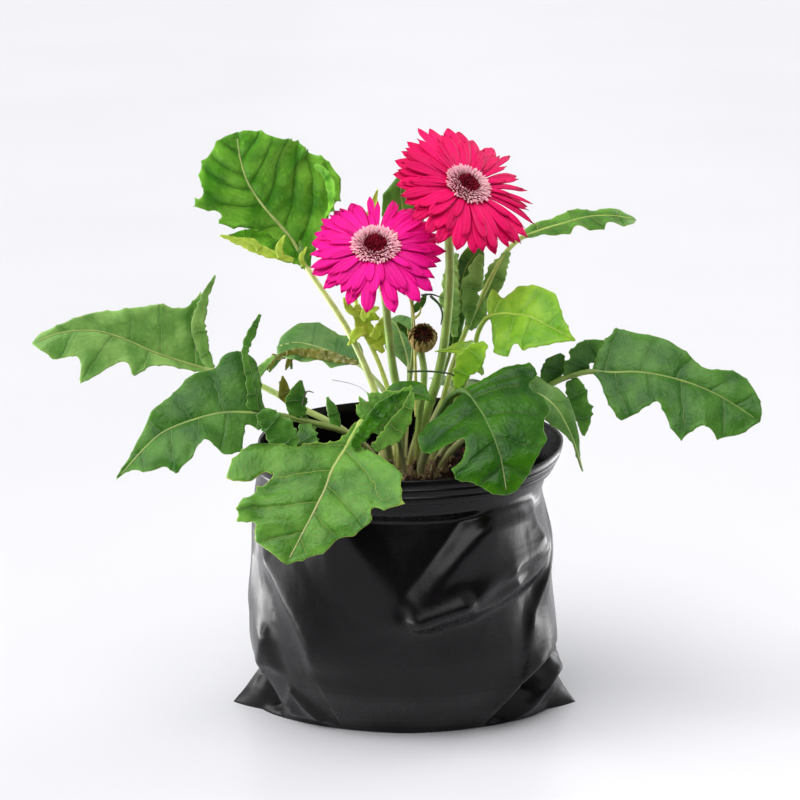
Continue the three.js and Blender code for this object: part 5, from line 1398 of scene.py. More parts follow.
# Folds of the film: a path of [degrees round from +X, height], half-widths to the left and right of it, lift,
# and how soft its crest is.
FOLDS = [
    [[[-91, 87], [-79, 95], [-64, 105]], 8, 6, 9.5, 2.5],
    [[[-80, 89], [-66, 100], [-57, 111], [-46, 118], [-30, 120], [-10, 124]], 11, 11, 5, 2.5],
    [[[-126, 44], [-126, 65], [-133, 87], [-142, 107], [-157, 130]], 11, 26, 7.5, 0.8],
    [[[-86, 95], [-79, 120], [-67, 147], [-57, 168]], 7, 18, 1.5, 3],
    [[[-149, 76], [-153, 53], [-166, 18]], 5, 9, 3.2, 0.7],
    [[[-168, 34], [-165, 17], [-162, 2]], 6, 6, -9, 1.5],
    [[[-155, 4], [-143, 27], [-130, 3]], 3, 5, 3.4, 0.6],
    [[[-37, 1], [-35, 15], [-31, 28], [-23, 37], [-10, 42]], 6.5, 6.5, -13, 1.6],
    [[[-46, 1], [-46, 20], [-41, 36], [-31, 45], [-13, 50]], 9, 3, 6, 0.6],
    [[[-29, 0], [-26, 12], [-22, 21], [-14, 29], [-2, 34]], 3, 11, 7, 0.6],
    [[[-36, 58], [-31, 79], [-20, 100], [-8, 128]], 4, 12, 3.2, 1],
    [[[-48, 119], [-42, 102]], 4, 8, 2, 1],
    [[[-32, 160], [-30, 142], [-24, 126]], 4, 9, 3, 1],
    [[[-178, 60], [-172, 110], [-176, 150]], 8, 10, 2.6, 1],
    [[[20, 34], [34, 66], [38, 128]], 9, 20, 4, 2],
    [[[62, 150], [72, 108], [94, 60]], 16, 12, 4.5, 2],
    [[[104, 40], [112, 96], [128, 146]], 18, 12, 4, 2],
    [[[140, 14], [150, 60], [156, 120]], 10, 14, 4, 1.5],
    [[[70, 20], [96, 34], [128, 24]], 12, 8, 3.5, 2],
]
# Flat panels between folds: corners [degrees, height, lift], and how gently each side from a corner runs out.
PANELS = [
    [[[-84, 86, -1], [-20, 116, -4], [-30, 166, 6], [-64, 166, 0], [-95, 101, 0]], [9, 22, 20, 14, 10]],
    [[[-176, 30, 3], [-142, 36, 4], [-148, 118, 1], [-176, 128, 1]], [10, 14, 14, 12]],
    [[[-90, 86, 1], [-50, 165, -9], [-120, 165, -8]], [17, 9, 20]],
    [[[-92, 86, -3], [-70, 30, 1], [-20, 42, 0], [-17, 113, -3]], [16, 20, 20, 12]],
    [[[-122, 66, 0], [-118, 14, 0], [-80, 20, 1.5], [-92, 84, 2.5]], [8, 14, 16, 10]],
    [[[-154, 4, 2], [-131, 4, 4.5], [-143, 27, 0.5]], [3, 3, 3]],
    [[[46, 50, -3], [84, 56, 1], [70, 120, -3], [44, 126, 1]], [20, 18, 20, 18]],
    [[[116, 30, 1], [140, 30, -4], [150, 120, 1], [122, 110, -3]], [18, 16, 20, 18]],
]


def bag_radius(z, degrees):
    """How far the film is from the middle at a height and direction, its folds included."""
    heights, *columns = np.array(BAG_LEVELS, float).T
    left, right, front, back, square = (
        sum(w * np.interp(z + d, heights, column) for w, d in ((1, -5), (2, 0), (1, 5))) / 4
        for column in columns
    )
    a = np.radians(degrees)
    c, s = np.cos(a), np.sin(a)
    reach_x, reach_y = np.where(c < 0, left, right), np.where(s < 0, front, back)
    r = ((np.abs(c) / reach_x) ** square + (np.abs(s) / reach_y) ** square) ** (-1 / square)
    for at in EARS["at"]:
        away = np.abs(around(degrees, at))
        near = np.maximum(0, 1 - away / EARS["spread"] / (1 + z / EARS["top"]))
        r = r + EARS["reach"] * near * np.maximum(0, 1 - z / EARS["top"]) ** 1.1
        high = (z - DENT["height"]) / DENT["tall"]
        r = r - DENT["deep"] * np.exp(-((away / DENT["wide"]) ** 2) - high**2)
    fade = np.clip(z / 4, 0, 1) * np.clip((FOLDS_END - z) / FOLDS_FADE, 0, 1)
    lift = sum(fold_lift(z, degrees, *fold) for fold in FOLDS)
    return r + fade * (lift + sum(panel_lift(z, degrees, *panel) for panel in PANELS))


def panel_lift(z, degrees, corners, gentle):
    """How far one flat panel lifts the film inside its corners."""
    start = corners[0][0]
    across = around(degrees, start) * ARC
    points = [(around(turn, start) * ARC, height, rise) for turn, height, rise in corners]
    (x0, z0, l0), (x1, z1, l1), (x2, z2, l2) = points[:3]
    area = (x1 - x0) * (z2 - z0) - (x2 - x0) * (z1 - z0)
    u = ((across - x0) * (z2 - z0) - (x2 - x0) * (z - z0)) / area
    v = ((x1 - x0) * (z - z0) - (across - x0) * (z1 - z0)) / area
    lift = l0 + u * (l1 - l0) + v * (l2 - l0)
    for (ax, az, _), (bx, bz, _), width in zip(points, points[1:] + points[:1], gentle):
        away = ((bx - ax) * (z - az) - (bz - az) * (across - ax)) / math.hypot(bx - ax, bz - az)
        lift = lift * smooth(0, width, away)
    return lift


def fold_lift(z, degrees, path, left, right, lift, soft):
    """How far one fold lifts the film, fading out to each side and towards its ends."""
    nearest, side, share = np.full(np.shape(z), np.inf), np.zeros(np.shape(z)), np.zeros(np.shape(z))
    runs = [math.hypot((b[0] - a[0]) * ARC, b[1] - a[1]) for a, b in zip(path, path[1:])]
    gone = 0
    for (d0, z0), (d1, z1), run in zip(path, path[1:], runs):
        px, pz = around(degrees, d0) * ARC, z - z0
        dx, dz = (d1 - d0) * ARC, z1 - z0
        t = np.clip((px * dx + pz * dz) / run**2, 0, 1)
        away = np.hypot(px - dx * t, pz - dz * t)
        closer = away < nearest
        nearest = np.where(closer, away, nearest)
        side = np.where(closer, dx * pz - dz * px, side)
        share = np.where(closer, (gone + t * run) / sum(runs), share)
        gone += run
    away = np.sqrt(nearest**2 + soft**2) - soft
    ends = 0.35 + 0.65 * smooth(0, 0.22, share) * smooth(1, 0.78, share)
    return lift * ends * np.exp(-((away / np.where(side > 0, left, right)) ** 1.25))


def bag_rings(rows, step_degrees, crumple):
    """Rings of points at rows of [height, shift out, liveliness], with the creases of soft film."""
    degrees = np.arange(0, 360, step_degrees)
    dice = Dice(11)
    turns = [dice.uniform(0, math.tau) for _ in range(FACETS)]
    seeds = np.array([(100 * math.cos(t), 100 * math.sin(t), dice.uniform(0, 84)) for t in turns])
    rings = []
    for z, proud, lively in rows:
        r = bag_radius(np.full(len(degrees), float(z)), degrees) + proud
        a = np.radians(degrees)
        at = np.column_stack([r * np.cos(a), r * np.sin(a), np.full(len(a), float(z))])
        tall = at * [1, 1, 0.45]
        wave = 0.9 * waves(tall, 44, 1) + 0.15 * waves(tall, 14, 2)
        sharp = 0.3 * (1 - 2.6 * np.abs(waves(tall, 33, 5)))
        facets = np.min([np.linalg.norm(tall - seed, axis=1) for seed in seeds], axis=0)
        r = r + lively * crumple * (wave + sharp + 0.05 * (18 - facets))
        lean = 1.2 * np.sin(2 * a + 0.7) + 0.8 * np.sin(5 * a + 2)
        level = z + (lean + 4.5 * np.clip(np.sin(a), 0, 1) ** 2) * np.clip((z - MOUTH) / MOUTH_FADE, 0, 1)
        rings.append(np.column_stack([r * np.cos(a), r * np.sin(a), level]))
    return rings


def bag_rows(film):
    """Rows of [height, shift out, liveliness] up the outside, over the cuff and down the inside."""
    low, fall = CUFF["low"], CUFF["fall"]
    rows = [[z, 0, min(1, z / 10, max(CALM, (168 - z) / 30))] for z in np.arange(0, low - 0.5, 1.3)]
    rows[0][2] = 0
    tiers = CUFF["tiers"] + [0.2]
    for i, proud in enumerate(tiers[:3]):
        z = low + i * fall
        top = z + fall - (1.2 if i == 2 else 0.2)
        tier = [[z - 0.3, proud * 0.3], [z - 0.7, proud - 0.1], [z - 0.1, proud + 0.35],
                [z + 1.2, proud + 0.3], [z + fall * 0.6, proud + 0.1], [top, mix(proud, tiers[i + 1], 0.4)]]
        rows += [[*row, CALM] for row in tier]
    rim = BAG_HEIGHT
    rows += [[rim - 0.4, 0.3, CALM], [rim, -0.3, CALM], [rim - 0.3, -1.0, CALM], [rim - 1.6, -1.4, 0.3]]
    rows += [[z, -film, 0.5 if z > 140 else 0.3] for z in np.arange(rim - 4, 138, -3)]
    rows += [[z, -film - 0.5, 0.2] for z in np.arange(134, 12, -4)]
    return rows + [[9, -film - 0.6, 0], [3, -film - 1, 0]]


def film_finish(colour):
    """Soft black film: a low gloss, fine stretch wrinkles, and faint dust where it has been handled."""
    m = Finish("black_film")
    height = m.parts(m.place)[2]
    wrinkle = m.noise(0.006, 4.0, m.mapping((1.0, 1.0, 0.35)))
    crinkle = m.noise(0.0022, 3.0)
    dust = m.noise(0.03, 6.0, roughness=0.65)
    settled = dust.step(0.5, 0.75) * 0.5 + height.step(0.03, 0.0) * dust.step(0.35, 0.6) * 0.6
    tone = m.blend(settled * 0.5, colour, tint(colour, 1.6, 0.001))
    grit = m.noise(0.0011, 1.0).step(0.72, 0.8) * dust.step(0.45, 0.7)
    tone = m.blend(grit * 0.5, tone, srgb(92, 84, 78))
    roughness = 0.26 + (wrinkle - 0.5) * 0.12 + settled * 0.14
    return m.set(tone, roughness, m.bump(wrinkle * 0.75 + crinkle * 0.25, 0.0006, 0.25), 0.22)


# ---- potting mix and crown ----

CROWN = {"x": 2, "y": 4, "top": 167}
# The dried stubs: their directions, how far from the middle of the crown they stand, their radius and length.
STUBS = {"at": [-111, -83, -55, -28, 27, 111, 166], "ring": 26.5, "radius": 2.1, "length": 19}
# The mix: its height at the film, how much it rises to the crown, how far from there the rise begins, and
# its gap to the film.
SOIL = {"edge": 158, "rise": 8, "reach": 95, "slack": 1.0}
# The crown as rings of [height, radius].
CROWN_RINGS = (
    (96, 9), (120, 16), (147, 30), (155, 30), (162, 29.5), (165, 27), (167.2, 22), (168, 14), (168, 5),
)


def soil_height(x, y):
    """The height of the mounded mix, which falls away from the crown."""
    far = np.hypot(x - CROWN["x"], y - CROWN["y"])
    mound = SOIL["rise"] * np.maximum(0, 1 - far / SOIL["reach"])
    return SOIL["edge"] + mound + 0.9 * np.sin(x * 0.21 + 1) * np.cos(y * 0.17)


def chunk_graph():
    """Crumbs of bark and peat lying on a surface."""
    g = Graph("crumbs", Density=float, Size=float, Flat=float, Seed=int, Material=bpy.types.Material)
    ball = g.node("GeometryNodeMeshIcoSphere", {}, 1.0, 2)
    turn = g.chance((0.0, 0.0, 0.0), (6.3, 1.2, 6.3))
    odd = g.chance(0.0, 1.0)
    size = g["Size"] * (0.35 + odd * odd * 0.9)
    scale = g.vector(size * g.chance(0.7, 1.9), size, size * g["Flat"])
    points = g.store(g.spread()[0], "shade", g.chance(0.0, 1.0, 5), "FLOAT")
    real = g.real(g.instances(points, ball, Rotation=turn, Scale=scale))
    where = g.node("GeometryNodeInputPosition")
    rough = g.node("ShaderNodeTexNoise", {}, Vector=where, Scale=700.0, Detail=2.0, out=1)
    shift = g.node("ShaderNodeVectorMath", {"operation": "SUBTRACT"}, rough, (0.5, 0.5, 0.5))
    shift = g.node("ShaderNodeVectorMath", {"operation": "SCALE"}, shift, Scale=0.0022)
    g.finish(g.node("GeometryNodeSetPosition", {}, real, Offset=shift))
    return g


def mix_finish(name, dark, brown, red):
    """Moist peat and bark: nearly black, with brown and reddish fibres."""
    m = Finish(name)
    lump = m.noise(0.005, 8.0, roughness=0.7)
    grain = m.noise(0.0009, 4.0)
    shade = m.attribute("shade")
    tone = m.blend(lump.step(0.45, 0.75) * 0.7 + shade * 0.3, dark, brown)
    tone = m.blend(grain.step(0.6, 0.75) * 0.5 + shade.step(0.8, 1.0) * 0.4, tone, red)
    return m.set(tone, 0.82 + grain * 0.15, m.bump(lump * 0.6 + grain * 0.4, 0.002, 1.0), 0.25)


def crown_finish():
    """Dry stalk stubs and papery scales: straw and brown, split along their length."""
    m = Finish("dry_stalk")
    split = m.noise(0.0014, 4.0, m.mapping((1.0, 1.0, 0.12)))
    stain = m.noise(0.009, 5.0)
    tone = m.blend(split.step(0.35, 0.65), srgb(58, 40, 24), srgb(150, 126, 86))
    tone = m.blend(stain.step(0.5, 0.75) * 0.7, tone, srgb(48, 34, 22))
    return m.set(tone, 0.75 + split * 0.15, m.bump(split, 0.0009, 0.9))


# ---- settings a user would change ----


def size(name, text, default, unit_name="LENGTH"):
    """A number that a user may set."""
    return bpy.props.FloatProperty(name=name, description=text, default=default, unit=unit_name)


def colour(name, text, default):
    """A colour that a user may set."""
    named = {"name": name, "description": text, "default": default}
    return bpy.props.FloatVectorProperty(subtype="COLOR", size=3, **named)


class GerberaLeafSettings(bpy.types.PropertyGroup):
    thickness: size("Thickness", "Thickness of a leaf blade", 0.00055)
    step: size("Mesh step", "Length of the edges of a leaf's mesh", 0.0013)
    stalk: colour("Stalk foot", "Colour of the stalks close to the crown", srgb(186, 180, 132))


class GerberaHeadSettings(bpy.types.PropertyGroup):
    low: colour("Lower petals", "Colour of the petals of the lower head", srgb(255, 10, 156))
    high: colour("Upper petals", "Colour of the petals of the upper head", srgb(252, 4, 106))
    ring: colour("Ring", "Colour of the pale florets round the eye", srgb(255, 192, 210))
    eye: colour("Eye", "Colour of the dark florets in the middle", srgb(92, 2, 24))
    scape: colour("Scape", "Colour of the flower stalks", srgb(142, 176, 80))
    petal: size("Petal thickness", "Thickness of a petal", 0.00045)
    hairs: size("Hairs", "Hairs on each square metre of a stalk", 160000.0, "NONE")


class GerberaBagSettings(bpy.types.PropertyGroup):
    film: size("Film", "Thickness of the bag's wall", 0.0022)
    crumple: size("Crumple", "How deep the creases of the film are", 1.0, "NONE")
    tint: colour("Film colour", "Colour of the film", (0.003, 0.0024, 0.0029))


class GerberaMixSettings(bpy.types.PropertyGroup):
    crumb: size("Crumb", "Half the length of a large crumb", 0.0026)
    density: size("Crumbs", "Crumbs on each square metre", 52000.0, "NONE")
    dark: colour("Peat", "Colour of the moist peat", srgb(22, 14, 9))
    brown: colour("Bark", "Colour of the bark", srgb(62, 38, 24))


class GerberaStageSettings(bpy.types.PropertyGroup):
    floor: colour("Floor", "Colour of the floor", srgb(222, 221, 225))
    key: size("Key light", "Strength of the soft light from the upper left", 2.6, "POWER")
    side: size("Side lights", "Brightness of the soft windows on each side", 4.5, "NONE")
    cards: size("Cards", "Brightness of the white cards that lie beside the bag", 7.0, "NONE")


# ---- stage, in metres ----

FLOOR = [(-30, -0.85, 0), (30, -0.85, 0), (30, 30, 0), (-30, 30, 0)]
CAMERA = {"place": (-0.004, -1.9, 0.68), "down": 13.8, "lens": 131.4, "sensor": 36, "far": 100}
KEY = {"way": (0.35, 0.5, -1), "spread": 60}
# White cards that lie beside the bag: place, size along x and y, and share of the brightness.
CARDS = {
    "light_left": ((-0.62, 0.05, 0.004), 0.58, 0.56, 1.2),
    "light_right": ((0.52, 0.3, 0.004), 0.36, 0.44, 0.8),
}


def add_floor(tone):
    """A pale floor with painted shade: darker at the back and to the left, and lighter at the front right."""
    mesh = bpy.data.meshes.new("floor")
    mesh.from_pydata(FLOOR, [], [(0, 1, 2, 3)])
    floor = linked("floor", mesh)
    m = Finish("floor")
    x, y, _ = m.parts(m.place)
    # shade is painted shade in the floor's colour, standing in for the fall of the light: darker at the back
    # and left, lighter at the front right beside the bag; noise patches mix some of it back to the plain
    # colour.
    shade = y.step(-0.2, 1.0) * 0.45 + x.step(0.1, 0.8) * y.step(0.2, 1.0) * 0.3 + 0.3
    shade = shade - x.step(0.0, 0.3) * y.step(0.5, -0.2) * 0.9 + x.step(-0.1, -0.3) * 0.3
    floor_with_painted_shade = m.blend(m.noise(0.4, 2.0) * 0.5, m.blend(shade, tone, tint(tone, 0.86)), tone)
    mesh.materials.append(m.set(floor_with_painted_shade, 0.33, specular=0.3))


def add_lights(key, cards):
    """A soft light from the upper left, and the white cards, which look up."""
    lamp = linked("light_key", bpy.data.lights.new("light_key", "SUN"))
    lamp.data.energy = key
    lamp.data.angle = math.radians(KEY["spread"])
    lamp.rotation_euler = Vector(KEY["way"]).to_track_quat("-Z", "Y").to_euler()
    for name, (place, size_x, size_y, share) in CARDS.items():
        card = linked(name, bpy.data.lights.new(name, "AREA"))
        card.data.shape = "RECTANGLE"
        card.data.size = size_x
        card.data.size_y = size_y
        card.data.energy = cards * share * math.pi * size_x * size_y
        card.location = place
        card.rotation_euler = (math.pi, 0, 0)


def add_world(side):
    """Even light, dark low at the front, with a bright window on the left and one at the back right."""
    world = bpy.data.worlds.new("studio")
    world.use_nodes = True
    bpy.context.scene.world = world
    tree = Tree(world.node_tree)
    x, y, z = tree.parts(tree.node("ShaderNodeTexCoord", out="Generated"))
    level = 0.69 + x.abs().step(0.4, 0.9) * 0.06 - y.step(-0.05, -0.55) * z.step(0.8, 0.35) * 0.62
    left = (z * 0.3 - x * 0.95).step(0.92, 0.97)
    right = (x * 0.74 + y * 0.62 + z * 0.26).step(0.93, 0.98)
    shader = world.node_tree.nodes["Background"]
    tree.feed(shader.inputs["Color"], (0.97, 0.98, 1.0, 1))
    tree.feed(shader.inputs["Strength"], level + (left + right * 0.8) * side)


def add_camera():
    """A long lens in front of the plant and above it, looking a little down."""
    camera = linked("camera", bpy.data.cameras.new("camera"))
    camera.data.sensor_width = CAMERA["sensor"]
    camera.data.lens = CAMERA["lens"]
    camera.data.clip_end = CAMERA["far"]
    camera.location = CAMERA["place"]
    camera.rotation_euler = (math.radians(90 - CAMERA["down"]), 0, 0)
    bpy.context.scene.camera = camera
    bpy.context.scene.view_settings.view_transform = "Standard"


# ---- operators ----


class GERBERA_OT_stage(bpy.types.Operator):
    """Makes the floor, the lights and the camera."""

    bl_idname = "gerbera.stage"
    bl_label = "Stage"

    def execute(self, context):
        settings = context.scene.gerbera_stage
        add_floor(tuple(settings.floor))
        add_lights(settings.key, settings.cards)
        add_world(settings.side)
        add_camera()
        return {"FINISHED"}


class GERBERA_OT_bag(bpy.types.Operator):
    """Makes the film grow bag with its folded cuff."""

    bl_idname = "gerbera.bag"
    bl_label = "Grow bag"

    def execute(self, context):
        settings = context.scene.gerbera_bag
        build = Build()
        build.loft(bag_rings(bag_rows(settings.film / MM), BAG_STEP, settings.crumple))
        build.piece("film_bag", [film_finish(tuple(settings.tint))], ["grow_bag"], "film")
        return {"FINISHED"}


class GERBERA_OT_mix(bpy.types.Operator):
    """Makes the potting mix and the crumbs of peat and bark on it."""

    bl_idname = "gerbera.mix"
    bl_label = "Potting mix"

    def execute(self, context):
        settings, bag = context.scene.gerbera_mix, context.scene.gerbera_bag
        inset = bag.film / MM + SOIL["slack"]
        edge = bag_rings([[154, -inset, 0.5]], MIX_STEP, bag.crumple)[0]
        skirt = [[z, -inset - np.interp(z, (16, 60, 110, 140), (8, 6, 5, 2)), 0.3] for z in range(16, 148, 5)]
        top = []
        for share in (*np.linspace(1, 0.97, 3), *np.linspace(0.95, 0.02, 52)):
            x, y = edge[:, 0] * share, edge[:, 1] * share
            z = soil_height(x, y)
            at = np.column_stack([x, y, z])
            lively = float(smooth(1, 0.93, share))
            z = z + lively * (1.7 * waves(at, 15, 4) + 1.1 * waves(at, 6, 6) + 0.7 * waves(at, 2.6, 8))
            top.append(np.column_stack([x, y, z - (1 - lively) * 1.5]))
        build = Build()
        build.loft(bag_rings(skirt, MIX_STEP, bag.crumple) + top, shade=0.3)
        brown = tuple(settings.brown)
        peat = mix_finish("peat", tuple(settings.dark), brown, srgb(104, 52, 30))
        bark = mix_finish("bark", brown, srgb(96, 60, 38), srgb(150, 104, 70))
        build.piece("peat_mix", [peat], ["potting_mix"], "mix")
        cover = bpy.data.meshes.new("cover")
        flat = np.array(top[3:-3])
        cover.from_pydata((flat.reshape(-1, 3) * MM).tolist(), [], quads(*flat.shape[:2]))
        graph = chunk_graph()
        crumbs = {"Density": settings.density, "Size": settings.crumb, "Flat": 0.6, "Seed": 4}
        straws = {"Density": 9000.0, "Size": settings.crumb * 1.1, "Flat": 0.22, "Seed": 9}
        meshes = [
            graph.grow(cover.copy(), "crumbs", Material=peat, **crumbs),
            graph.grow(cover, "straws", Material=bark, **straws),
        ]
        settle_joined(meshes, "mix_crumbs")
        return {"FINISHED"}


class GERBERA_OT_crown(bpy.types.Operator):
    """Makes the crown with its dried stubs."""

    bl_idname = "gerbera.crown"
    bl_label = "Crown"

    def execute(self, context):
        build = Build()
        a = np.radians(np.arange(0, 360, 5))
        rings = []
        for z, r in CROWN_RINGS:
            wave = r * (1 + 0.05 * np.sin(3 * a + 1) + 0.04 * np.sin(7 * a))
            at = np.column_stack([CROWN["x"] + wave * np.cos(a), CROWN["y"] + wave * np.sin(a), a * 0 + z])
            if z > 150:
                at[:, 2] += 1.3 * waves(at, 7, 3) + 0.7 * waves(at, 3, 5)
            rings.append(at)
        build.loft(rings)
        dice = Dice(3)
        for direction in STUBS["at"]:
            c, s = math.cos(math.radians(direction)), math.sin(math.radians(direction))
            long = STUBS["length"] * dice.uniform(0.7, 1.3)
            line = ((0, -9), (long * 0.2, long * 0.4), (long * 0.5, long * 0.75))
            rows = [(STUBS["ring"] + out, CROWN["top"] + up) for out, up in line]
            spine = Spine([[CROWN["x"] + r * c, CROWN["y"] + r * s, z] for r, z in rows])
            beat = dice.random() * 9

            def radius(q):
                thin = 1 - 0.45 * (q / spine.length) ** 2
                return STUBS["radius"] * thin * (1 + 0.16 * np.sin(q * 0.8 + beat))

            add_tube(build, spine, 0, spine.length, radius, 10, 0.9)
        build.piece("dry_crown", [crown_finish()], ["crown"], "crown")
        return {"FINISHED"}


class GERBERA_OT_leaves(bpy.types.Operator):
    """Makes every leaf: its stalk, its lobed and quilted blade and its loose lobes."""

    bl_idname = "gerbera.leaves"
    bl_label = "Leaves"

    def execute(self, context):
        settings = context.scene.gerbera_leaf
        blades = {look: leaf_finish(look) for look in LOOKS}
        foot = tuple(settings.stalk)
        stalks = {look: stalk_finish("petiole_" + look, look_of(look)["stalk"], foot) for look in LOOKS}
        thick, step = settings.thickness / MM, settings.step / MM
        for seed, (name, spec) in enumerate(LEAVES.items()):
            shape = LeafShape(spec)
            build = Build()
            add_blade(build, shape, seed + 1, thick, step)
            add_stalk(build, shape)
            for k, lobe in enumerate(shape.spec["lobes"]):
                add_lobe(build, lobe, seed * 10 + k, thick, step)
            kind = "young_leaf" if name[5:] in YOUNG else "leaf"
            build.piece(name + "_blade", [blades[spec["look"]], stalks[spec["look"]]], [name], kind)
        return {"FINISHED"}


class GERBERA_OT_leaflets(bpy.types.Operator):
    """Makes the small curling lobes about the stalks, and the dry threads and tendrils."""

    bl_idname = "gerbera.leaflets"
    bl_label = "Leaflets"

    def execute(self, context):
        settings = context.scene.gerbera_leaf
        thick, step = settings.thickness / MM, settings.step / MM
        for look, lobes in LEAFLETS.items():
            build = Build()
            for k, lobe in enumerate(lobes):
                add_lobe(build, lobe, 300 + k, thick, step * 0.8)
            slot = "young_leaf" if look in ("young", "yellow") else "leaf"
            build.piece(f"leaflets_{look}", [leaf_finish(look)], slot=slot)
        for k, (points, thick, tone) in enumerate(THREADS):
            spine, build = Spine(points), Build()

            def radius(s):
                return thick * (1 - 0.6 * (s / spine.length) ** 2)

            add_tube(build, spine, 0, spine.length, radius, 8, 1.5)
            finish = stalk_finish(f"thread_{k}", srgb(*tone), srgb(*tone))
            build.piece(f"thread_{k}", [finish], slot="scape")
        return {"FINISHED"}


class GERBERA_OT_scapes(bpy.types.Operator):
    """Makes the flower stalks and their hairs."""

    bl_idname = "gerbera.scapes"
    bl_label = "Scapes"

    def execute(self, context):
        settings = context.scene.gerbera_head
        finish = stalk_finish("scape_skin", tuple(settings.scape), srgb(150, 130, 84), 1.0)
        hair = hair_finish("stalk_hair", srgb(206, 214, 176))
        bristles = bristle_graph()
        for seed, (name, head) in enumerate({**HEADS, "bud": BUD}.items()):
            ends, flare = (BUD_ENDS, 0.4) if head is BUD else (ENDS, 1.2)
            axis = unit(head["axis"])
            points = stalk_root(head["root"]) + head["scape"]
            spine = Spine(points + [list(np.array(head["centre"]) + axis * h) for h in ends])
            low, high = head["stalk"]

            def radius(s):
                return mix(low, high, s / spine.length) + flare * smooth(-22, -6, s - spine.length)

            build = Build()
            add_tube(build, spine, 0, spine.length, radius, 18, 2)
            stalk = build.piece(f"scape_{name}_stalk", [finish], ["scape_" + name], "scape")
            down = {"Density": settings.hairs, "Long": 0.0016, "Thin": 0.00005, "Seed": seed}
            hairs = bristles.grow(stalk.data.copy(), "hairs", Material=hair, **down)
            settle(hairs, f"scape_{name}_hairs")
        return {"FINISHED"}


class GERBERA_OT_petals(bpy.types.Operator):
    """Makes the whorls of petals of the two open heads."""

    bl_idname = "gerbera.petals"
    bl_label = "Petals"

    def execute(self, context):
        settings = context.scene.gerbera_head
        graph = strap_graph()
        # The last colour of each petal finish is the colour of its painted sheen.
        under = petal_finish("petal_core", srgb(150, 60, 80), srgb(120, 40, 60), srgb(190, 120, 120))
        looks = {
            "low": (tuple(settings.low), srgb(228, 0, 118), srgb(255, 150, 205)),
            "high": (tuple(settings.high), srgb(206, 0, 72), srgb(255, 120, 170)),
        }
        for name, head in HEADS.items():
            finish = petal_finish("petal_" + name, *looks[name])
            whorl = straps(graph, petal_rows(head), "petal", finish, head, settings.petal / MM)
            meshes = [whorl, core(head, "petals", under)]
            settle_joined(meshes, f"petals_{name}", ["rays_" + name])
        return {"FINISHED"}


class GERBERA_OT_discs(bpy.types.Operator):
    """Makes the ring of pale florets and the dark eye of the open heads."""

    bl_idname = "gerbera.discs"
    bl_label = "Rings and eyes"

    def execute(self, context):
        settings = context.scene.gerbera_head
        graph = strap_graph()
        lips = floret_finish("ring_lips", srgb(224, 76, 124), tuple(settings.ring), srgb(252, 214, 200))
        bed = floret_finish("ring_bed", srgb(120, 20, 48), srgb(170, 60, 90), srgb(200, 110, 120))
        # The second colour of the eye florets is their painted highlight.
        dark = stud_finish("eye_florets", tuple(settings.eye), srgb(146, 8, 42))
        for name, head in HEADS.items():
            dice = Dice(head["seed"] + 1)
            rows = []
            for i, count, near, bend, far, wide in strips_of("ring"):
                reach, lift = dice.uniform(0.92, 1.06), dice.off(0.5)
                rows.append([(i + dice.off(0.35)) / count * 360, near, (bend[0], bend[1] + lift),
                             (far[0] * reach, far[1] + lift), wide * dice.uniform(0.75, 1.2),
                             dice.off(0.5), dice.off(0.8), dice.uniform(0, 0.7),
                             dice.random()])
            meshes = [straps(graph, rows, "lip", lips, head, LIP_THICK), core(head, "ring", bed)]
            settle_joined(meshes, f"florets_{name}", ["ring_" + name])
            meshes = [studs("eye", dark, head), core(head, "eye", dark)]
            settle_joined(meshes, f"eye_{name}_florets", ["eye_" + name])
        return {"FINISHED"}


class GERBERA_OT_bracts(bpy.types.Operator):
    """Makes the green cups under the open heads."""

    bl_idname = "gerbera.bracts"
    bl_label = "Bracts"

    def execute(self, context):
        graph = strap_graph()
        green = floret_finish("bract_green", srgb(82, 108, 40), srgb(116, 142, 62), srgb(150, 120, 90))
        for name, head in HEADS.items():
            dice = Dice(head["seed"] + 5)
            rows = []
            for i, count, near, bend, far, wide in strips_of("cup"):
                lift = dice.off(0.5)
                rows.append([(i + dice.off(0.2)) / count * 360, near, bend,
                             (far[0] + dice.uniform(-0.3, 0.5), far[1] + lift), wide, dice.off(0.1),
                             dice.off(0.6), dice.uniform(-0.3, 0.1), dice.random()])
            meshes = [straps(graph, rows, "bract", green, head, BRACT_THICK), core(head, "cup", green)]
            settle_joined(meshes, f"cup_{name}", ["bracts_" + name])
        return {"FINISHED"}


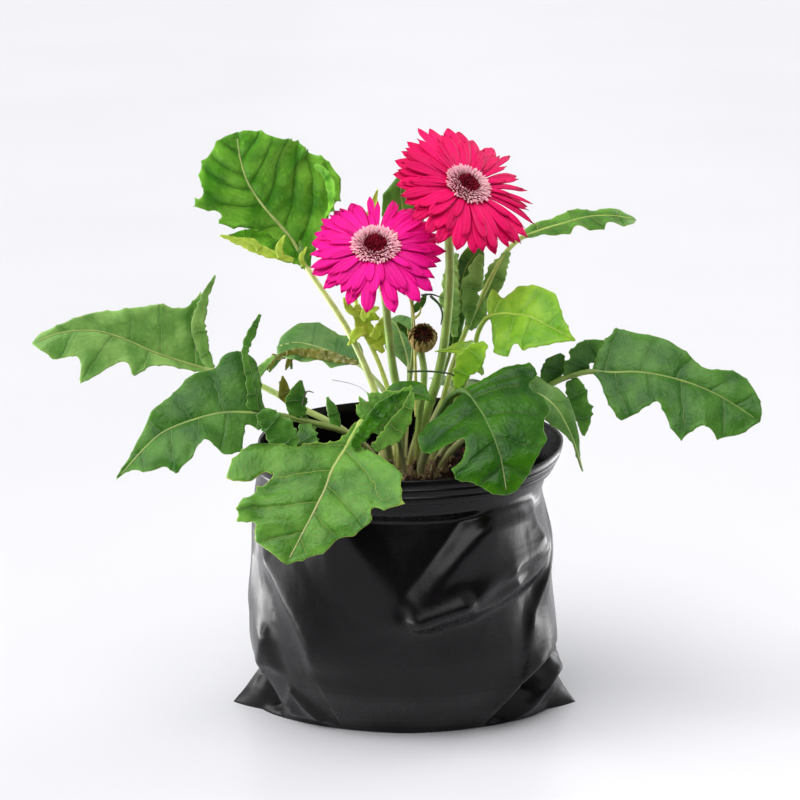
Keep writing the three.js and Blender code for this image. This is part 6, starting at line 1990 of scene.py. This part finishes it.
class GERBERA_OT_closing(bpy.types.Operator):
    """Makes the closing head: incurved bracts round dark florets."""

    bl_idname = "gerbera.closing"
    bl_label = "Closing head"

    def execute(self, context):
        dice = Dice(BUD["seed"])
        brown = floret_finish("bract_closing", srgb(92, 104, 36), srgb(150, 128, 62), srgb(176, 150, 96))
        # The second colour of the closing florets is their painted highlight.
        dark = stud_finish("closing_florets", srgb(26, 4, 6), srgb(120, 60, 50))
        rows = []
        for i, count, near, bend, far, wide in strips_of("closing"):
            rows.append([(i + dice.off(0.3)) / count * 360, near, bend,
                         (far[0] * dice.uniform(0.85, 1.1), far[1] + dice.off(0.6)), wide,
                         dice.off(0.2), dice.off(0.8), dice.uniform(-0.4, 0.2),
                         dice.random()])
        whorl = straps(strap_graph(), rows, "closing", brown, BUD, BRACT_THICK)
        settle_joined([whorl, core(BUD, "closing", brown)], "closing_bracts", ["bracts_bud"])
        settle(studs("closing", dark, BUD), "closing_head_florets", ["florets_bud"])
        return {"FINISHED"}


class GERBERA_PT_panel(bpy.types.Panel):
    """Lists the steps that build the potted gerbera."""

    bl_label = "Potted gerbera"
    bl_idname = "GERBERA_PT_panel"
    bl_space_type = "VIEW_3D"
    bl_region_type = "UI"
    bl_category = "Gerbera"

    def draw(self, context):
        """A box for each group of settings, then a button for each step."""
        for key, kind in SETTINGS.items():
            box = self.layout.box()
            for name in kind.__annotations__:
                box.prop(getattr(context.scene, key), name)
        for step in STEPS:
            self.layout.operator(step.bl_idname)


SETTINGS = {
    "gerbera_leaf": GerberaLeafSettings,
    "gerbera_head": GerberaHeadSettings,
    "gerbera_bag": GerberaBagSettings,
    "gerbera_mix": GerberaMixSettings,
    "gerbera_stage": GerberaStageSettings,
}
STEPS = (
    GERBERA_OT_stage, GERBERA_OT_bag, GERBERA_OT_mix, GERBERA_OT_crown, GERBERA_OT_leaves,
    GERBERA_OT_leaflets, GERBERA_OT_scapes, GERBERA_OT_petals, GERBERA_OT_discs, GERBERA_OT_bracts,
    GERBERA_OT_closing,
)


def register():
    """Adds the settings, the steps and the panel."""
    for kind in (*SETTINGS.values(), *STEPS, GERBERA_PT_panel):
        bpy.utils.register_class(kind)
    for key, kind in SETTINGS.items():
        setattr(bpy.types.Scene, key, bpy.props.PointerProperty(type=kind))


def unregister():
    """Takes them away again."""
    for key in SETTINGS:
        delattr(bpy.types.Scene, key)
    for kind in (GERBERA_PT_panel, *reversed(STEPS), *SETTINGS.values()):
        bpy.utils.unregister_class(kind)


def main():
    """Builds the plant."""
    register()
    for step in STEPS:
        group, name = step.bl_idname.split(".")
        getattr(getattr(bpy.ops, group), name)()


if __name__ == "__main__":
    main()
